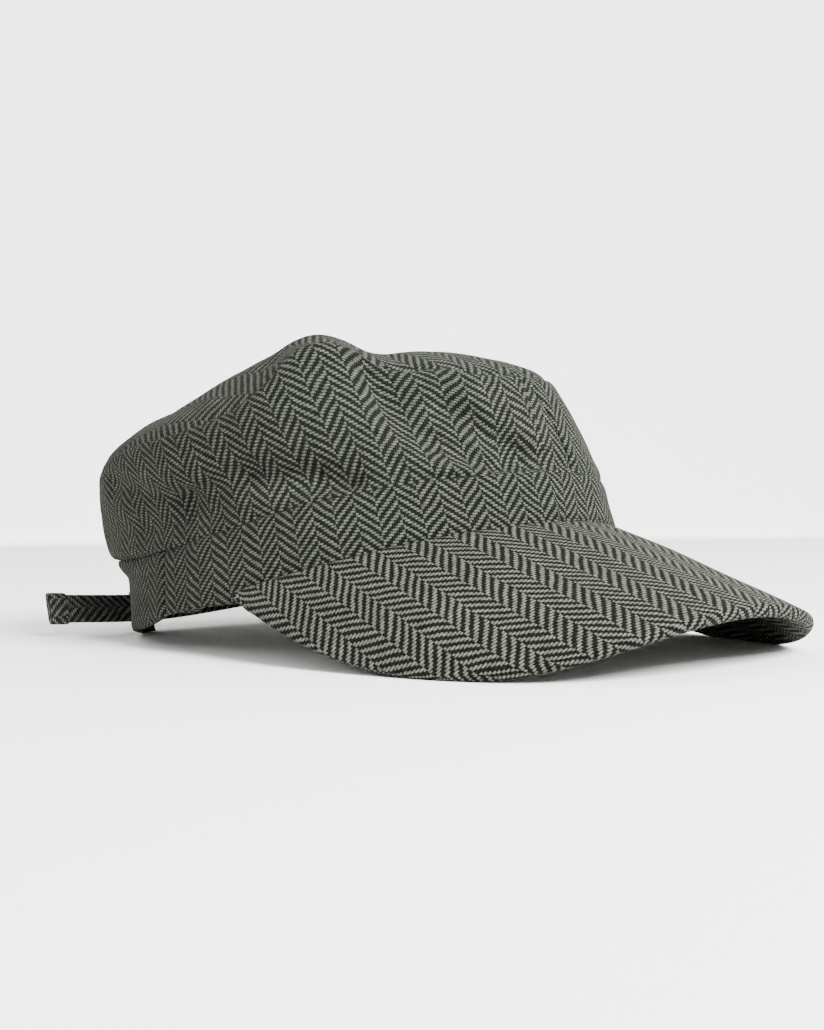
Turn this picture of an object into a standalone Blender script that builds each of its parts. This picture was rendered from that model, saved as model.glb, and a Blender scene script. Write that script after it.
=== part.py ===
"""Cadet cap in herringbone wool tweed: a soft crown on a narrow band, a curved
brim, and a back strap. Units are metres. The cap faces -Y, its wearer's right
is -X, and it stands on the floor at z = 0 on its brim and the back of its band."""
import math

import bpy
import numpy as np

# Cloth and clearances
CROWN_CLOTH = 0.0018
BAND_CLOTH = 0.0026
STRAP_CLOTH = 0.0022
SEAM_GAP = 0.0003
# Share of the gap that each cloth gives up where two meet at an angle
SEAM_SHARE = 0.7
BRIM_CLEAR = 0.0004
STRAP_CLEAR = 0.0004

# Band, outside measures, in the cap's own frame with the head opening level
HEAD_HALF_WIDTH = 0.0848
HEAD_HALF_LENGTH = 0.0978
BAND_TOP_HALF_WIDTH = 0.0810
BAND_TOP_HALF_LENGTH = 0.0974
BAND_SIDE_HEIGHT = 0.0212
BAND_FRONT_HEIGHT = 0.0166
BAND_BACK_HEIGHT = 0.0349
FRONT_RISE = 0.0041
BACK_RISE = 0.0043
# The lower edge hangs lower behind the ears, and the top spreads beside the back opening
SIDE_DROP = 0.0027
SIDE_DROP_ANGLE = math.radians(109)
SIDE_DROP_WIDTH = math.radians(12)
BACK_FLARE = 0.045
FLARE_FROM = math.radians(105)
FLARE_FULL = math.radians(130)
FLARE_END = math.radians(150)
FLARE_LOW = 0.70
BAND_SIDE_SEAM = math.radians(97)
OPENING_HALF_ANGLE = math.radians(31)
OPENING_CROWN_RISE = 0.30
FRONT_SEAM_LEAN = math.radians(10)
FRONT_SEAM_CURVE = 2.2
# The band runs on behind the brim, and this far below it, fading out by angle
BAND_TUCK = 0.0012
TUCK_FULL = math.radians(62)
TUCK_NONE = math.radians(100)

# Crown
CROWN_HEIGHT = 0.0735
TOP_HEIGHT = 0.0765
TOP_FRONT_FALL = 0.0045
TOP_ROLL = 6.0
# Levels that shape the side's curve, as shares of its height
SIDE_LOW_LEVEL = 0.14
SIDE_HIGH_LEVEL = 0.80
# Share of the side at its edges, and reach of the top, where folds and dents fade
FOLD_FADE = 0.12
DENT_FADE = 0.85

# Brim
BRIM_THICK = 0.0043
BRIM_HALF_WIDTH = 0.1108
BRIM_REACH = 0.0643
BRIM_BEND_RADIUS = 0.0811
BRIM_FRONT_FALL = 0.0452
BRIM_TIP_ANGLE = math.radians(73.7)
BRIM_ROUND = 0.964
BRIM_BOW = 0.0008
BRIM_TIP_STOP = 0.97
BRIM_NOSE = ((0.80, 0.12), (0.50, 0.24), (0.20, 0.12))
BRIM_TIP_THICK = 0.35
BRIM_TIP_RUN = 0.045
BRIM_TIP_DROP = 0.0030
# How suddenly the brim widens to the band and drops toward its tips
BRIM_WIDEN_POWER = 4
BRIM_DROP_POWER = 8

# Back strap and its slide
STRAP_WIDTH = 0.0108
STRAP_HEM_WIDTH = 0.0122
STRAP_HEM_CLOTH = 0.0034
STRAP_HEM = 0.0080
STRAP_TAIL = 0.0415
STRAP_TAIL_RISE = 0.0022
STRAP_TAIL_CURL = 1.2
STRAP_SEWN = 0.0160
STRAP_LEAVE = 0.0040
STRAP_STRAIGHT = 0.4
STRAP_HEIGHT = 0.0148
STRAP_FAR_RISE = 0.0045
STRAP_FAR_RUN = 0.080
STRAP_BAND_RISE = 0.32
STRAP_CORNER = 0.0005
STRAP_HEM_STEP = 0.0012
STRAP_TIP_SHARE = 0.55
STRAP_TIP_NARROW = 0.0004
STRAP_TAIL_STATIONS = np.array([0.15, 0.3, 0.45, 0.6, 0.7, 0.79, 0.81, 0.83, 0.9, 0.985, 1.0])
SLIDE_BAR = 0.0013
SLIDE_CLEAR = 0.0004
SLIDE_PLACE = 0.0030
SLIDE_CORNER = 0.6

# How the cap stands
FRONT_LIFT = math.radians(14.2)
REST_PRESS = 0.0010

# Colours, as linear red, green and blue, and roughness
CROWN_TWEED = (0.115, 0.112, 0.103)
BAND_TWEED = (0.105, 0.102, 0.094)
BRIM_TWEED = (0.100, 0.097, 0.090)
TWEED_ROUGHNESS = 0.92
SLIDE_STEEL = (0.060, 0.060, 0.062)
STEEL_ROUGHNESS = 0.42
STEEL_METALLIC = 0.9

# Crown sections round the band, from the front centre. Negative angles are the
# wearer's right. Outs are shares of the band's top oval, heights of CROWN_HEIGHT.
CROWN_COLUMNS = ("angle", "edge_out", "edge_height", "low_out", "high_out")
CROWN_SECTIONS = (
    (-180, 1.04, 0.850, 1.15, 1.09),
    (-150, 1.05, 0.865, 1.15, 1.09),
    (-135, 1.05, 0.870, 1.14, 1.09),
    (-118, 1.05, 0.865, 1.1, 1.08),
    (-106, 1.05, 0.840, 1.05, 1.07),
    (-93, 1.05, 0.805, 1.02, 1.07),
    (-80, 1.05, 0.775, 1.01, 1.06),
    (-70, 1.04, 0.790, 1, 1.05),
    (-62, 1.03, 0.860, 1, 1.05),
    (-54, 1.01, 0.985, 1, 1.04),
    (-48, 0.99, 1.000, 1, 1.03),
    (-42, 0.96, 0.950, 0.99, 1.01),
    (-36, 0.92, 0.860, 0.98, 0.99),
    (-30, 0.91, 0.825, 0.98, 0.98),
    (-20, 0.93, 0.810, 0.99, 0.98),
    (-12, 0.94, 0.765, 0.99, 0.99),
    (0, 0.93, 0.765, 0.99, 0.98),
    (14, 0.91, 0.780, 0.99, 0.97),
    (36, 0.86, 0.830, 0.99, 0.94),
    (60, 0.92, 0.830, 1, 0.99),
    (90, 1, 0.820, 1.02, 1.05),
    (120, 1.04, 0.850, 1.1, 1.08),
    (150, 1.04, 0.860, 1.15, 1.09),
)

# Folds of the side: each runs between two points given by angle and by rise, a
# share of the side from band to edge. Half widths and depths are shares of
# CROWN_HEIGHT, and a depth below zero goes inward.
FOLD_COLUMNS = ("from_angle", "from_rise", "to_angle", "to_rise", "half_width", "depth")
SIDE_FOLDS = (
    (-37, 0.72, -14, 0.12, 0.122, -0.068),
    (-34, 0.28, -22, 0.06, 0.095, 0.027),
    (-22, 0.62, -4, 0.10, 0.095, -0.041),
    (-128, 0.34, -80, 0.26, 0.122, -0.046),
    (-58, 0.20, -48, 0.25, 0.095, -0.020),
)

# Dents and rises of the top: each lies at an angle and at a reach, a share of the
# way from the middle to the edge. Half widths and heights are shares of CROWN_HEIGHT.
DENT_COLUMNS = ("angle", "reach", "half_width", "height")
TOP_DENTS = (
    (-49, 0.88, 0.23, 0.061),
    (-62, 0.82, 0.22, 0.027),
    (-28, 0.50, 0.30, -0.012),
    (150, 0.50, 0.41, -0.054),
)

# Grids and shading
COLUMNS_ROUND = 104
BAND_ROWS = 3
SIDE_ROWS = 9
TOP_ROWS = 7
BRIM_STATIONS = 40
BRIM_ROWS = 5
TOP_SPREAD = 0.8
SLIDE_SIDES = 8
BESIDE_EDGE = 0.99
SHARP_ANGLE = math.radians(40)


def table(columns, rows):
    """Turn a table of rows into one array for each named column."""
    return {name: np.array([row[i] for row in rows], float) for i, name in enumerate(columns)}


CROWN = table(CROWN_COLUMNS, CROWN_SECTIONS)


def around(column, angle):
    """Smooth value of a crown column at an angle, going right round the head."""
    knots = np.radians(CROWN["angle"])
    turn = 2 * math.pi
    angle = (np.asarray(angle, float) + math.pi) % turn - math.pi
    knots = np.concatenate([knots[-2:] - turn, knots, knots[:3] + turn])
    values = np.concatenate([CROWN[column][-2:], CROWN[column], CROWN[column][:3]])
    slopes = np.gradient(values, knots)
    here = np.clip(np.searchsorted(knots, angle) - 1, 0, len(knots) - 2)
    span = knots[here + 1] - knots[here]
    t = (angle - knots[here]) / span
    return ((2 * t**3 - 3 * t**2 + 1) * values[here] + (t**3 - 2 * t**2 + t) * span * slopes[here]
            + (3 * t**2 - 2 * t**3) * values[here + 1] + (t**3 - t**2) * span * slopes[here + 1])


def oval(half_width, half_length, angle):
    """Plan point of a head oval at an angle from the front centre."""
    return np.stack([half_width * np.sin(angle), -half_length * np.cos(angle)], -1)


def point(plan, height):
    """Join plan points and heights."""
    return np.concatenate([plan, np.asarray(height)[..., None]], -1)


def smooth(low, high, value):
    """Smooth step from 0 at low to 1 at high."""
    t = np.clip((value - low) / (high - low), 0, 1)
    return t * t * (3 - 2 * t)


def front_share(angle):
    """1 at the front centre, 0 from the brim's tips backward."""
    turn = np.clip(angle / BRIM_TIP_ANGLE, -1, 1) * math.pi / 2
    return np.cos(turn)


def back_share(angle):
    """1 at the back centre, 0 from the sides forward."""
    return np.maximum(-np.cos(angle), 0)


def side_drop(angle):
    """How much lower the band's lower edge hangs behind the ears."""
    return SIDE_DROP * np.exp(-((np.abs(angle) - SIDE_DROP_ANGLE) / SIDE_DROP_WIDTH) ** 2)


def back_flare(angle):
    """Share by which the band's top spreads out beside the back opening."""
    side = np.abs(angle)
    return BACK_FLARE * smooth(FLARE_FROM, FLARE_FULL, side) * (1 - smooth(FLARE_END, math.pi, side))


def band_low(angle):
    """Height of the band's lower edge."""
    return FRONT_RISE * front_share(angle) + BACK_RISE * back_share(angle) - side_drop(angle)


def band_tall(angle):
    """Height of the band itself."""
    return (BAND_SIDE_HEIGHT + side_drop(angle)
            + (BAND_FRONT_HEIGHT - BAND_SIDE_HEIGHT) * front_share(angle) ** 2
            + (BAND_BACK_HEIGHT - BAND_SIDE_HEIGHT) * back_share(angle) ** 2)


def band_surface(angle, rise):
    """Outside of the band: rise 0 is the lower edge and 1 the seam to the crown."""
    angle, rise = np.broadcast_arrays(angle, rise)
    low = oval(HEAD_HALF_WIDTH, HEAD_HALF_LENGTH, angle)
    top = oval(BAND_TOP_HALF_WIDTH, BAND_TOP_HALF_LENGTH, angle)
    held = np.clip(rise, 0, None)[..., None]
    spread = 1 + (back_flare(angle) * smooth(FLARE_LOW, 1, rise))[..., None]
    return point((low + (top - low) * held) * spread, band_low(angle) + band_tall(angle) * rise)


def bezier(a, b, c, d, t):
    """Cubic curve through its first and last values."""
    u = 1 - t
    return a * u**3 + 3 * b * u * u * t + 3 * c * u * t * t + d * t**3


def plain_side(angle, rise):
    """Outside of the crown's side before its folds."""
    base = band_low(angle) + band_tall(angle)
    edge = around("edge_height", angle) * CROWN_HEIGHT
    tall = edge - base
    outs = [around(name, angle) for name in ("low_out", "high_out", "edge_out")]
    out = bezier(1 + back_flare(angle), *outs, rise)
    height = bezier(base, base + SIDE_LOW_LEVEL * tall, base + SIDE_HIGH_LEVEL * tall, edge, rise)
    plan = oval(BAND_TOP_HALF_WIDTH, BAND_TOP_HALF_LENGTH, angle) * out[..., None]
    return point(plan, height)


def facing(surface, angle, rise):
    """Outward normals of a surface, from small steps along it."""
    step = 0.002
    along = surface(angle + step, rise) - surface(angle - step, rise)
    up = surface(angle, rise + step) - surface(angle, rise - step)
    normal = np.cross(along, up)
    return normal / np.linalg.norm(normal, axis=-1, keepdims=True)


def fold_depth(angle, rise):
    """How far the folds move the side in or out."""
    across = (BAND_TOP_HALF_WIDTH + BAND_TOP_HALF_LENGTH) / 2
    tall = CROWN_HEIGHT - BAND_SIDE_HEIGHT
    here = np.stack([angle * across, rise * tall], -1)
    total = np.zeros(np.shape(angle))
    for row in SIDE_FOLDS:
        fold = dict(zip(FOLD_COLUMNS, row))
        start = np.array([math.radians(fold["from_angle"]) * across, fold["from_rise"] * tall])
        end = np.array([math.radians(fold["to_angle"]) * across, fold["to_rise"] * tall])
        run = end - start
        t = np.clip((here - start) @ run / (run @ run), 0, 1)
        away = np.linalg.norm(here - start - t[..., None] * run, axis=-1)
        spread = away / (fold["half_width"] * CROWN_HEIGHT)
        total += fold["depth"] * CROWN_HEIGHT * np.exp(-spread ** 2)
    return total * smooth(0, FOLD_FADE, rise) * smooth(0, FOLD_FADE, 1 - rise)


def side_surface(angle, rise):
    """Outside of the crown's side with its folds."""
    angle, rise = np.broadcast_arrays(np.asarray(angle, float), np.asarray(rise, float))
    plain = plain_side(angle, rise)
    return plain + facing(plain_side, angle, rise) * fold_depth(angle, rise)[..., None]


def top_surface(angle, reach):
    """Outside of the top panel: reach 0 is its middle and 1 its seamed edge."""
    angle, reach = np.broadcast_arrays(np.asarray(angle, float), np.asarray(reach, float))
    edge = plain_side(angle, np.ones_like(angle))
    middle = TOP_MIDDLE
    plan = middle + (edge[..., :2] - middle) * reach[..., None]
    forward = np.minimum(plan[..., 1], 0) / HEAD_HALF_LENGTH
    level = TOP_HEIGHT - TOP_FRONT_FALL * forward ** 2
    height = level + (edge[..., 2] - level) * reach ** TOP_ROLL
    for row in TOP_DENTS:
        dent = dict(zip(DENT_COLUMNS, row))
        at = math.radians(dent["angle"])
        rim = plain_side(np.array(at), np.array(1.0))[:2]
        where = middle + (rim - middle) * dent["reach"]
        away = np.linalg.norm(plan - where, axis=-1)
        spread = away / (dent["half_width"] * CROWN_HEIGHT)
        held = 1 - smooth(DENT_FADE, 1, reach)
        height = height + dent["height"] * CROWN_HEIGHT * np.exp(-spread ** 2) * held
    return point(plan, height)


def top_middle():
    """Plan point under the middle of the top panel."""
    rim = plain_side(np.radians(np.arange(-180, 180, 5.0)), np.ones(72))[:, :2]
    return (rim.min(0) + rim.max(0)) / 2


TOP_MIDDLE = top_middle()


def mitre(one, other):
    """Offset direction where two surfaces meet, so both keep their thickness."""
    along = np.sum(one * other, -1, keepdims=True)
    return (one + other) / np.maximum(1 + along, 0.5)


def opening_rise(angle):
    """Share of the crown's side that the back opening takes away, by angle."""
    across = (math.pi - np.abs(angle)) / OPENING_HALF_ANGLE
    return OPENING_CROWN_RISE * np.sqrt(np.clip(1 - across ** 2, 0, 1))


def attitude(points):
    """From the cap's own frame to how it stands, with the front lifted."""
    y, z = points[..., 1], points[..., 2]
    c, s = math.cos(FRONT_LIFT), math.sin(FRONT_LIFT)
    return np.stack([points[..., 0], y * c + z * s, z * c - y * s], -1)


def own_frame(points):
    """From how the cap stands back to its own frame."""
    y, z = points[..., 1], points[..., 2]
    c, s = math.cos(FRONT_LIFT), math.sin(FRONT_LIFT)
    return np.stack([points[..., 0], y * c - z * s, z * c + y * s], -1)


def brim_edge(turn):
    """Lower outer edge of the brim, for turn from -1 at one tip to 1 at the other."""
    t = turn * math.pi / 2
    forward = np.maximum(np.cos(t), 1e-9) ** BRIM_ROUND
    across = BRIM_HALF_WIDTH * np.sign(t) * np.abs(np.sin(t)) ** BRIM_ROUND
    tip_y = -HEAD_HALF_LENGTH * math.cos(BRIM_TIP_ANGLE)
    reach = HEAD_HALF_LENGTH + BRIM_REACH + tip_y
    tip_x = BRIM_BEND_RADIUS * math.sin(BRIM_HALF_WIDTH / BRIM_BEND_RADIUS)
    outside = HEAD_HALF_WIDTH * math.sin(BRIM_TIP_ANGLE) + BRIM_THICK * BRIM_TIP_THICK + 2 * SEAM_GAP
    widen = 1 + (outside / tip_x - 1) * (across / BRIM_HALF_WIDTH) ** BRIM_WIDEN_POWER
    x = BRIM_BEND_RADIUS * np.sin(across / BRIM_BEND_RADIUS) * widen
    tip_turn = math.cos(BRIM_HALF_WIDTH / BRIM_BEND_RADIUS)
    bend = BRIM_BEND_RADIUS * (np.cos(across / BRIM_BEND_RADIUS) - tip_turn)
    middle = BRIM_BEND_RADIUS * (1 - tip_turn) - FRONT_RISE + BRIM_FRONT_FALL
    fall = BRIM_TIP_DROP * (across / BRIM_HALF_WIDTH) ** BRIM_DROP_POWER
    return np.stack([x, tip_y - reach * forward, bend - middle * forward - fall], -1)


def brim_root(turn):
    """Where the brim's top meets the band, at the same turn as its edge."""
    widest = brim_edge(np.array(1.0))[0]
    share = brim_edge(turn)[..., 0] / widest * math.sin(BRIM_TIP_ANGLE)
    angle = np.arcsin(np.clip(share, -1, 1))
    plan = oval(HEAD_HALF_WIDTH + BRIM_CLEAR, HEAD_HALF_LENGTH + BRIM_CLEAR, angle)
    return point(plan, band_low(angle))


def clear_of_band(points):
    """Move brim points that would enter the band out to its skin."""
    skin = np.array([HEAD_HALF_WIDTH, HEAD_HALF_LENGTH]) + BRIM_CLEAR
    share = np.linalg.norm(points[:, :2] / skin, axis=1)
    points[:, :2] /= np.minimum(share, 1)[:, None]
    return points


def plain_material(name, colour, roughness, metallic=0.0):
    """One plain material for one sub-part."""
    material = bpy.data.materials.new(name)
    material.use_nodes = True
    shader = material.node_tree.nodes["Principled BSDF"]
    shader.inputs["Base Color"].default_value = (*colour, 1.0)
    shader.inputs["Roughness"].default_value = roughness
    shader.inputs["Metallic"].default_value = metallic
    return material


def add_piece(name, points, faces, material, parent=None):
    """Make one named solid, shaded smooth, riding on its parent."""
    mesh = bpy.data.meshes.new(name)
    standing = attitude(points)
    standing[:, 2] = np.maximum(standing[:, 2] + LIFT, 0.0)
    standing[:, 2] -= LIFT
    mesh.from_pydata([tuple(p) for p in own_frame(standing)], [], faces)
    mesh.validate()
    mesh.update()
    mesh.materials.append(material)
    mesh.shade_smooth()
    mesh.set_sharp_from_angle(angle=SHARP_ANGLE)
    piece = bpy.data.objects.new(name, mesh)
    bpy.context.collection.objects.link(piece)
    piece.parent = parent
    return piece


def grid_faces(rows, columns, start, flip):
    """Quads of one grid of points, turned over when flip is set."""
    faces = []
    for i in range(rows - 1):
        for j in range(columns - 1):
            a = start + i * columns + j
            quad = (a, a + 1, a + columns + 1, a + columns)
            faces.append(quad[::-1] if flip else quad)
    return faces


def rim_faces(loop, offset):
    """Band of quads that joins an outer rim to the inner rim below it."""
    return [(a, b, b + offset, a + offset) for b, a in zip(loop, loop[1:] + loop[:1])]


def shell(name, outer, inner, material, parent=None):
    """Closed solid between an outer and an inner grid of rows and columns."""
    rows, columns = outer.shape[:2]
    count = rows * columns
    points = np.concatenate([outer.reshape(-1, 3), inner.reshape(-1, 3)])
    faces = grid_faces(rows, columns, 0, False) + grid_faces(rows, columns, count, True)
    loop = ([j for j in range(columns)] + [i * columns + columns - 1 for i in range(1, rows)]
            + [(rows - 1) * columns + j for j in range(columns - 2, -1, -1)]
            + [i * columns for i in range(rows - 2, 0, -1)])
    faces += rim_faces(loop, count)
    return add_piece(name, points, faces, material, parent)


def column_angles(start, end):
    """Evenly spaced angles between two seams."""
    count = max(2, round(abs(end - start) / (2 * math.pi) * COLUMNS_ROUND)) + 1
    return np.linspace(start, end, count)


def seam_step(size):
    """Angle that half of a gap takes up on the band."""
    return size / (BAND_TOP_HALF_WIDTH + BAND_TOP_HALF_LENGTH)


def band_seam_offset(angles):
    """Offset direction along the seam between band and crown side."""
    return mitre(facing(band_surface, angles, np.ones_like(angles)),
                 facing(side_surface, angles, np.full_like(angles, 1 - BESIDE_EDGE)))


def top_seam_offset(angles):
    """Offset direction along the seam between crown side and top."""
    beside = np.full_like(angles, BESIDE_EDGE)
    return mitre(facing(side_surface, angles, beside), -facing(top_surface, angles, beside))


def band_piece(name, start, end, material, parent=None):
    """One length of the band between two seams."""
    angles = column_angles(start + seam_step(SEAM_GAP), end - seam_step(SEAM_GAP))
    tall = band_tall(angles)
    hidden = (BRIM_THICK + BAND_TUCK) * smooth(TUCK_NONE, TUCK_FULL, np.abs(angles))
    low = -hidden / tall
    high = 1 - SEAM_SHARE * SEAM_GAP / tall
    steps = np.linspace(0, 1, BAND_ROWS + 1)[:, None]
    rise = low + (high - low) * steps
    angle = np.broadcast_to(angles, rise.shape)
    outer = band_surface(angle, rise)
    offset = facing(band_surface, angle, rise)
    offset[-1] = band_seam_offset(angles)
    return shell(name, outer, outer - offset * BAND_CLOTH, material, parent)


def crown_side(name, hand, material, parent):
    """Half of the crown's side, from the front seam to the back seam."""
    rows = []
    offsets = []
    count = len(column_angles(0, math.pi))
    give = SEAM_SHARE * SEAM_GAP / (CROWN_HEIGHT - BAND_SIDE_HEIGHT)
    for step in np.linspace(0, 1, SIDE_ROWS + 1):
        front = FRONT_SEAM_LEAN * (1 - step ** FRONT_SEAM_CURVE)
        start, end = (front, math.pi) if hand > 0 else (-math.pi, front)
        angles = np.linspace(start + seam_step(SEAM_GAP), end - seam_step(SEAM_GAP), count)
        low = opening_rise(angles) + give
        rise = low + (1 - give - low) * step
        turned = facing(side_surface, angles, rise)
        if step == 0:
            turned = np.where(opening_rise(angles)[:, None] > 0, turned, band_seam_offset(angles))
        if step == 1:
            turned = top_seam_offset(angles)
        rows.append(side_surface(angles, rise))
        offsets.append(turned)
    outer = np.array(rows)
    return shell(name, outer, outer - np.array(offsets) * CROWN_CLOTH, material, parent)


def crown_top(name, material, parent):
    """The top panel, seamed to both sides round its edge."""
    angles = np.linspace(-math.pi, math.pi, COLUMNS_ROUND + 1)[:-1]
    reaches = np.linspace(1, 0, TOP_ROWS + 1)[:-1] ** TOP_SPREAD
    half = np.linalg.norm(plain_side(angles, np.ones_like(angles))[:, :2] - TOP_MIDDLE, axis=-1)
    outer = []
    inner = []
    for i, reach in enumerate(reaches):
        share = np.full_like(angles, reach) - (SEAM_SHARE * SEAM_GAP / half if i == 0 else 0)
        place = top_surface(angles, share)
        turned = top_seam_offset(angles) if i == 0 else -facing(top_surface, angles, share)
        outer.append(place)
        inner.append(place - turned * CROWN_CLOTH)
    columns = len(angles)
    middle = top_surface(np.array(0.0), np.array(0.0))
    points = np.concatenate(outer + [[middle]] + inner + [[middle - np.array([0, 0, CROWN_CLOTH])]])
    count = columns * len(reaches) + 1
    faces = []
    for i in range(len(reaches) - 1):
        for j in range(columns):
            a, b = i * columns + j, i * columns + (j + 1) % columns
            faces.append((a, b, b + columns, a + columns))
            faces.append((a + count, a + columns + count, b + columns + count, b + count))
    last = (len(reaches) - 1) * columns
    for j in range(columns):
        a, b = last + j, last + (j + 1) % columns
        faces.append((a, b, count - 1))
        faces.append((b + count, a + count, 2 * count - 1))
        a, b = j, (j + 1) % columns
        faces.append((b, a, a + count, b + count))
    return add_piece(name, points, faces, material, parent)


def tube(name, sections, closed, material, parent):
    """Solid skinned over a row of closed sections, closed round or capped at both ends."""
    loop = len(sections[0])
    count = len(sections)
    faces = []
    for i in range(count if closed else count - 1):
        here, there = i * loop, (i + 1) % count * loop
        for j in range(loop):
            k = (j + 1) % loop
            faces.append((here + j, here + k, there + k, there + j))
    if not closed:
        faces.append(tuple(range(loop - 1, -1, -1)))
        faces.append(tuple(range((count - 1) * loop, count * loop)))
    return add_piece(name, np.array(sections).reshape(-1, 3), faces, material, parent)


def brim_solid(name, material, parent):
    """The stiff cloth-covered brim as one slab with a round outer edge."""
    turns = np.sin(np.linspace(-1, 1, BRIM_STATIONS + 1) * math.pi / 2 * BRIM_TIP_STOP)
    step = 0.01
    sections = []
    for turn in turns:
        root = brim_root(np.array(turn))
        edge = brim_edge(np.array(turn))
        length = np.linalg.norm(edge - root)
        along = (edge - root) / length
        before = brim_root(np.array(turn - step)) + brim_edge(np.array(turn - step))
        after = brim_root(np.array(turn + step)) + brim_edge(np.array(turn + step))
        up = np.cross(after - before, -along)
        up /= np.linalg.norm(up)
        thick = BRIM_THICK * (BRIM_TIP_THICK + (1 - BRIM_TIP_THICK) * smooth(0.0, BRIM_TIP_RUN, length))
        drop = np.array([0, 0, thick / max(up[2], 0.5)])
        shares = np.linspace(0, 1, BRIM_ROWS + 1)
        rim = edge + up * thick
        top = [root + (rim - root) * share + up * BRIM_BOW * 4 * share * (1 - share) for share in shares]
        under = [spot - drop * (1 - share) - up * thick * share for spot, share in zip(top, shares)]
        nose = [edge + up * thick * rise + along * thick * reach for rise, reach in BRIM_NOSE]
        sections.append(clear_of_band(np.array(top + nose + under[::-1])))
    return tube(name, sections, False, material, parent)


def strap_path():
    """Inner face of the strap in plan, from its sewn end to its free tip."""
    ends = math.pi - OPENING_HALF_ANGLE
    sewn = np.linspace(ends - STRAP_SEWN / HEAD_HALF_LENGTH, ends, 5)
    rise = np.full_like(sewn, STRAP_BAND_RISE)
    skin = band_surface(sewn, rise)[:, :2]
    out = facing(band_surface, sewn, rise)[:, :2]
    skin = skin + out / np.linalg.norm(out, axis=1)[:, None] * STRAP_CLEAR
    near = band_surface(np.array(-ends), np.array(STRAP_BAND_RISE))[:2]
    clear = near[1] + SEAM_GAP + SLIDE_BAR + SLIDE_CLEAR
    bridge = np.linspace(skin[-1, 0] - STRAP_LEAVE, near[0], 8)
    x = np.concatenate([bridge, near[0] - STRAP_TAIL * STRAP_TAIL_STATIONS])
    y = clear + (skin[-1, 1] - clear) * smooth(near[0] * STRAP_STRAIGHT, skin[-1, 0], x)
    return np.concatenate([skin, np.stack([x, y], -1)])


def strap_middle(past):
    """Height of the strap's middle line, past the near end of the opening or short of it."""
    tail = STRAP_TAIL_RISE * (max(past, 0.0) / STRAP_TAIL) ** STRAP_TAIL_CURL
    return STRAP_HEIGHT + tail + STRAP_FAR_RISE * smooth(0.0, STRAP_FAR_RUN, -past)


def strap_solid(name, material, parent):
    """The strap as one flat length, thicker and wider at its hemmed free end."""
    path = strap_path()
    heading = np.gradient(path, axis=0)
    heading /= np.linalg.norm(heading, axis=1)[:, None]
    out = np.stack([heading[:, 1], -heading[:, 0]], -1)
    near = band_surface(np.array(OPENING_HALF_ANGLE - math.pi), np.array(STRAP_BAND_RISE))[0]
    hem_start = STRAP_TAIL - STRAP_HEM - STRAP_HEM_STEP / 2
    sections = []
    for i, (spot, side) in enumerate(zip(path, out)):
        tip = i == len(path) - 1
        past = near - spot[0]
        hemmed = smooth(hem_start, hem_start + STRAP_HEM_STEP, past)
        cloth = STRAP_CLOTH + (STRAP_HEM_CLOTH - STRAP_CLOTH) * hemmed
        half = (STRAP_WIDTH + (STRAP_HEM_WIDTH - STRAP_WIDTH) * hemmed) / 2
        face = -(STRAP_HEM_CLOTH - STRAP_CLOTH) / 2 * hemmed
        if tip:
            half -= STRAP_TIP_NARROW
            face += (1 - STRAP_TIP_SHARE) * cloth / 2
            cloth *= STRAP_TIP_SHARE
        low, high = face + STRAP_CORNER, face + cloth - STRAP_CORNER
        short = half - STRAP_CORNER
        outline = ((low, half), (high, half), (face + cloth, short), (face + cloth, -short),
                   (high, -half), (low, -half), (face, -short), (face, short))
        middle = strap_middle(past)
        sections.append([(*(spot + side * across), middle + up) for across, up in outline])
    return tube(name, sections, False, material, parent)


def slide_solid(name, material, parent):
    """Plain wire slide: one closed rectangle round the strap at the near end of the opening."""
    near = band_surface(np.array(OPENING_HALF_ANGLE - math.pi), np.array(STRAP_BAND_RISE))
    x = near[0] - SLIDE_PLACE
    low_y = near[1] + SEAM_GAP + SLIDE_BAR / 2
    high_y = low_y + SLIDE_BAR + 2 * SLIDE_CLEAR + STRAP_CLOTH
    half = STRAP_WIDTH / 2 + SLIDE_CLEAR + SLIDE_BAR / 2
    round_off = SLIDE_BAR * SLIDE_CORNER
    centre = np.array([(low_y + high_y) / 2, strap_middle(SLIDE_PLACE)])
    arm = np.array([(high_y - low_y) / 2, half])
    sections = []
    for quarter in range(4):
        sign = np.array([(1, 1), (-1, 1), (-1, -1), (1, -1)][quarter])
        corner = centre + sign * (arm - round_off)
        for turn in (0, 45, 90):
            heading = math.radians(90 * quarter + turn)
            out = np.array([math.cos(heading), math.sin(heading)])
            middle_line = corner + out * round_off
            ring = []
            for k in range(SLIDE_SIDES):
                swing = -2 * math.pi * k / SLIDE_SIDES
                reach = middle_line + out * SLIDE_BAR / 2 * math.cos(swing)
                ring.append((x + SLIDE_BAR / 2 * math.sin(swing), reach[0], reach[1]))
            sections.append(ring)
    return tube(name, sections, True, material, parent)


def rest_lift():
    """How far the cap is lifted so that it just presses on the floor."""
    angles = np.linspace(-math.pi, math.pi, 721)
    clear = np.abs(angles) < math.pi - OPENING_HALF_ANGLE
    band = attitude(band_surface(angles[clear], 0 * angles[clear]))[:, 2].min()
    brim = attitude(brim_edge(np.linspace(-1, 1, 401)))[:, 2].min()
    return -max(band, brim) - REST_PRESS


LIFT = rest_lift()


def centre_on_floor(root):
    """Slide the cap along the floor until the origin is under the middle of its box."""
    bpy.context.view_layer.update()
    spots = [piece.matrix_world @ vertex.co for piece in bpy.data.objects for vertex in piece.data.vertices]
    for axis in range(2):
        values = [spot[axis] for spot in spots]
        root.location[axis] -= (min(values) + max(values)) / 2


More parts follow.
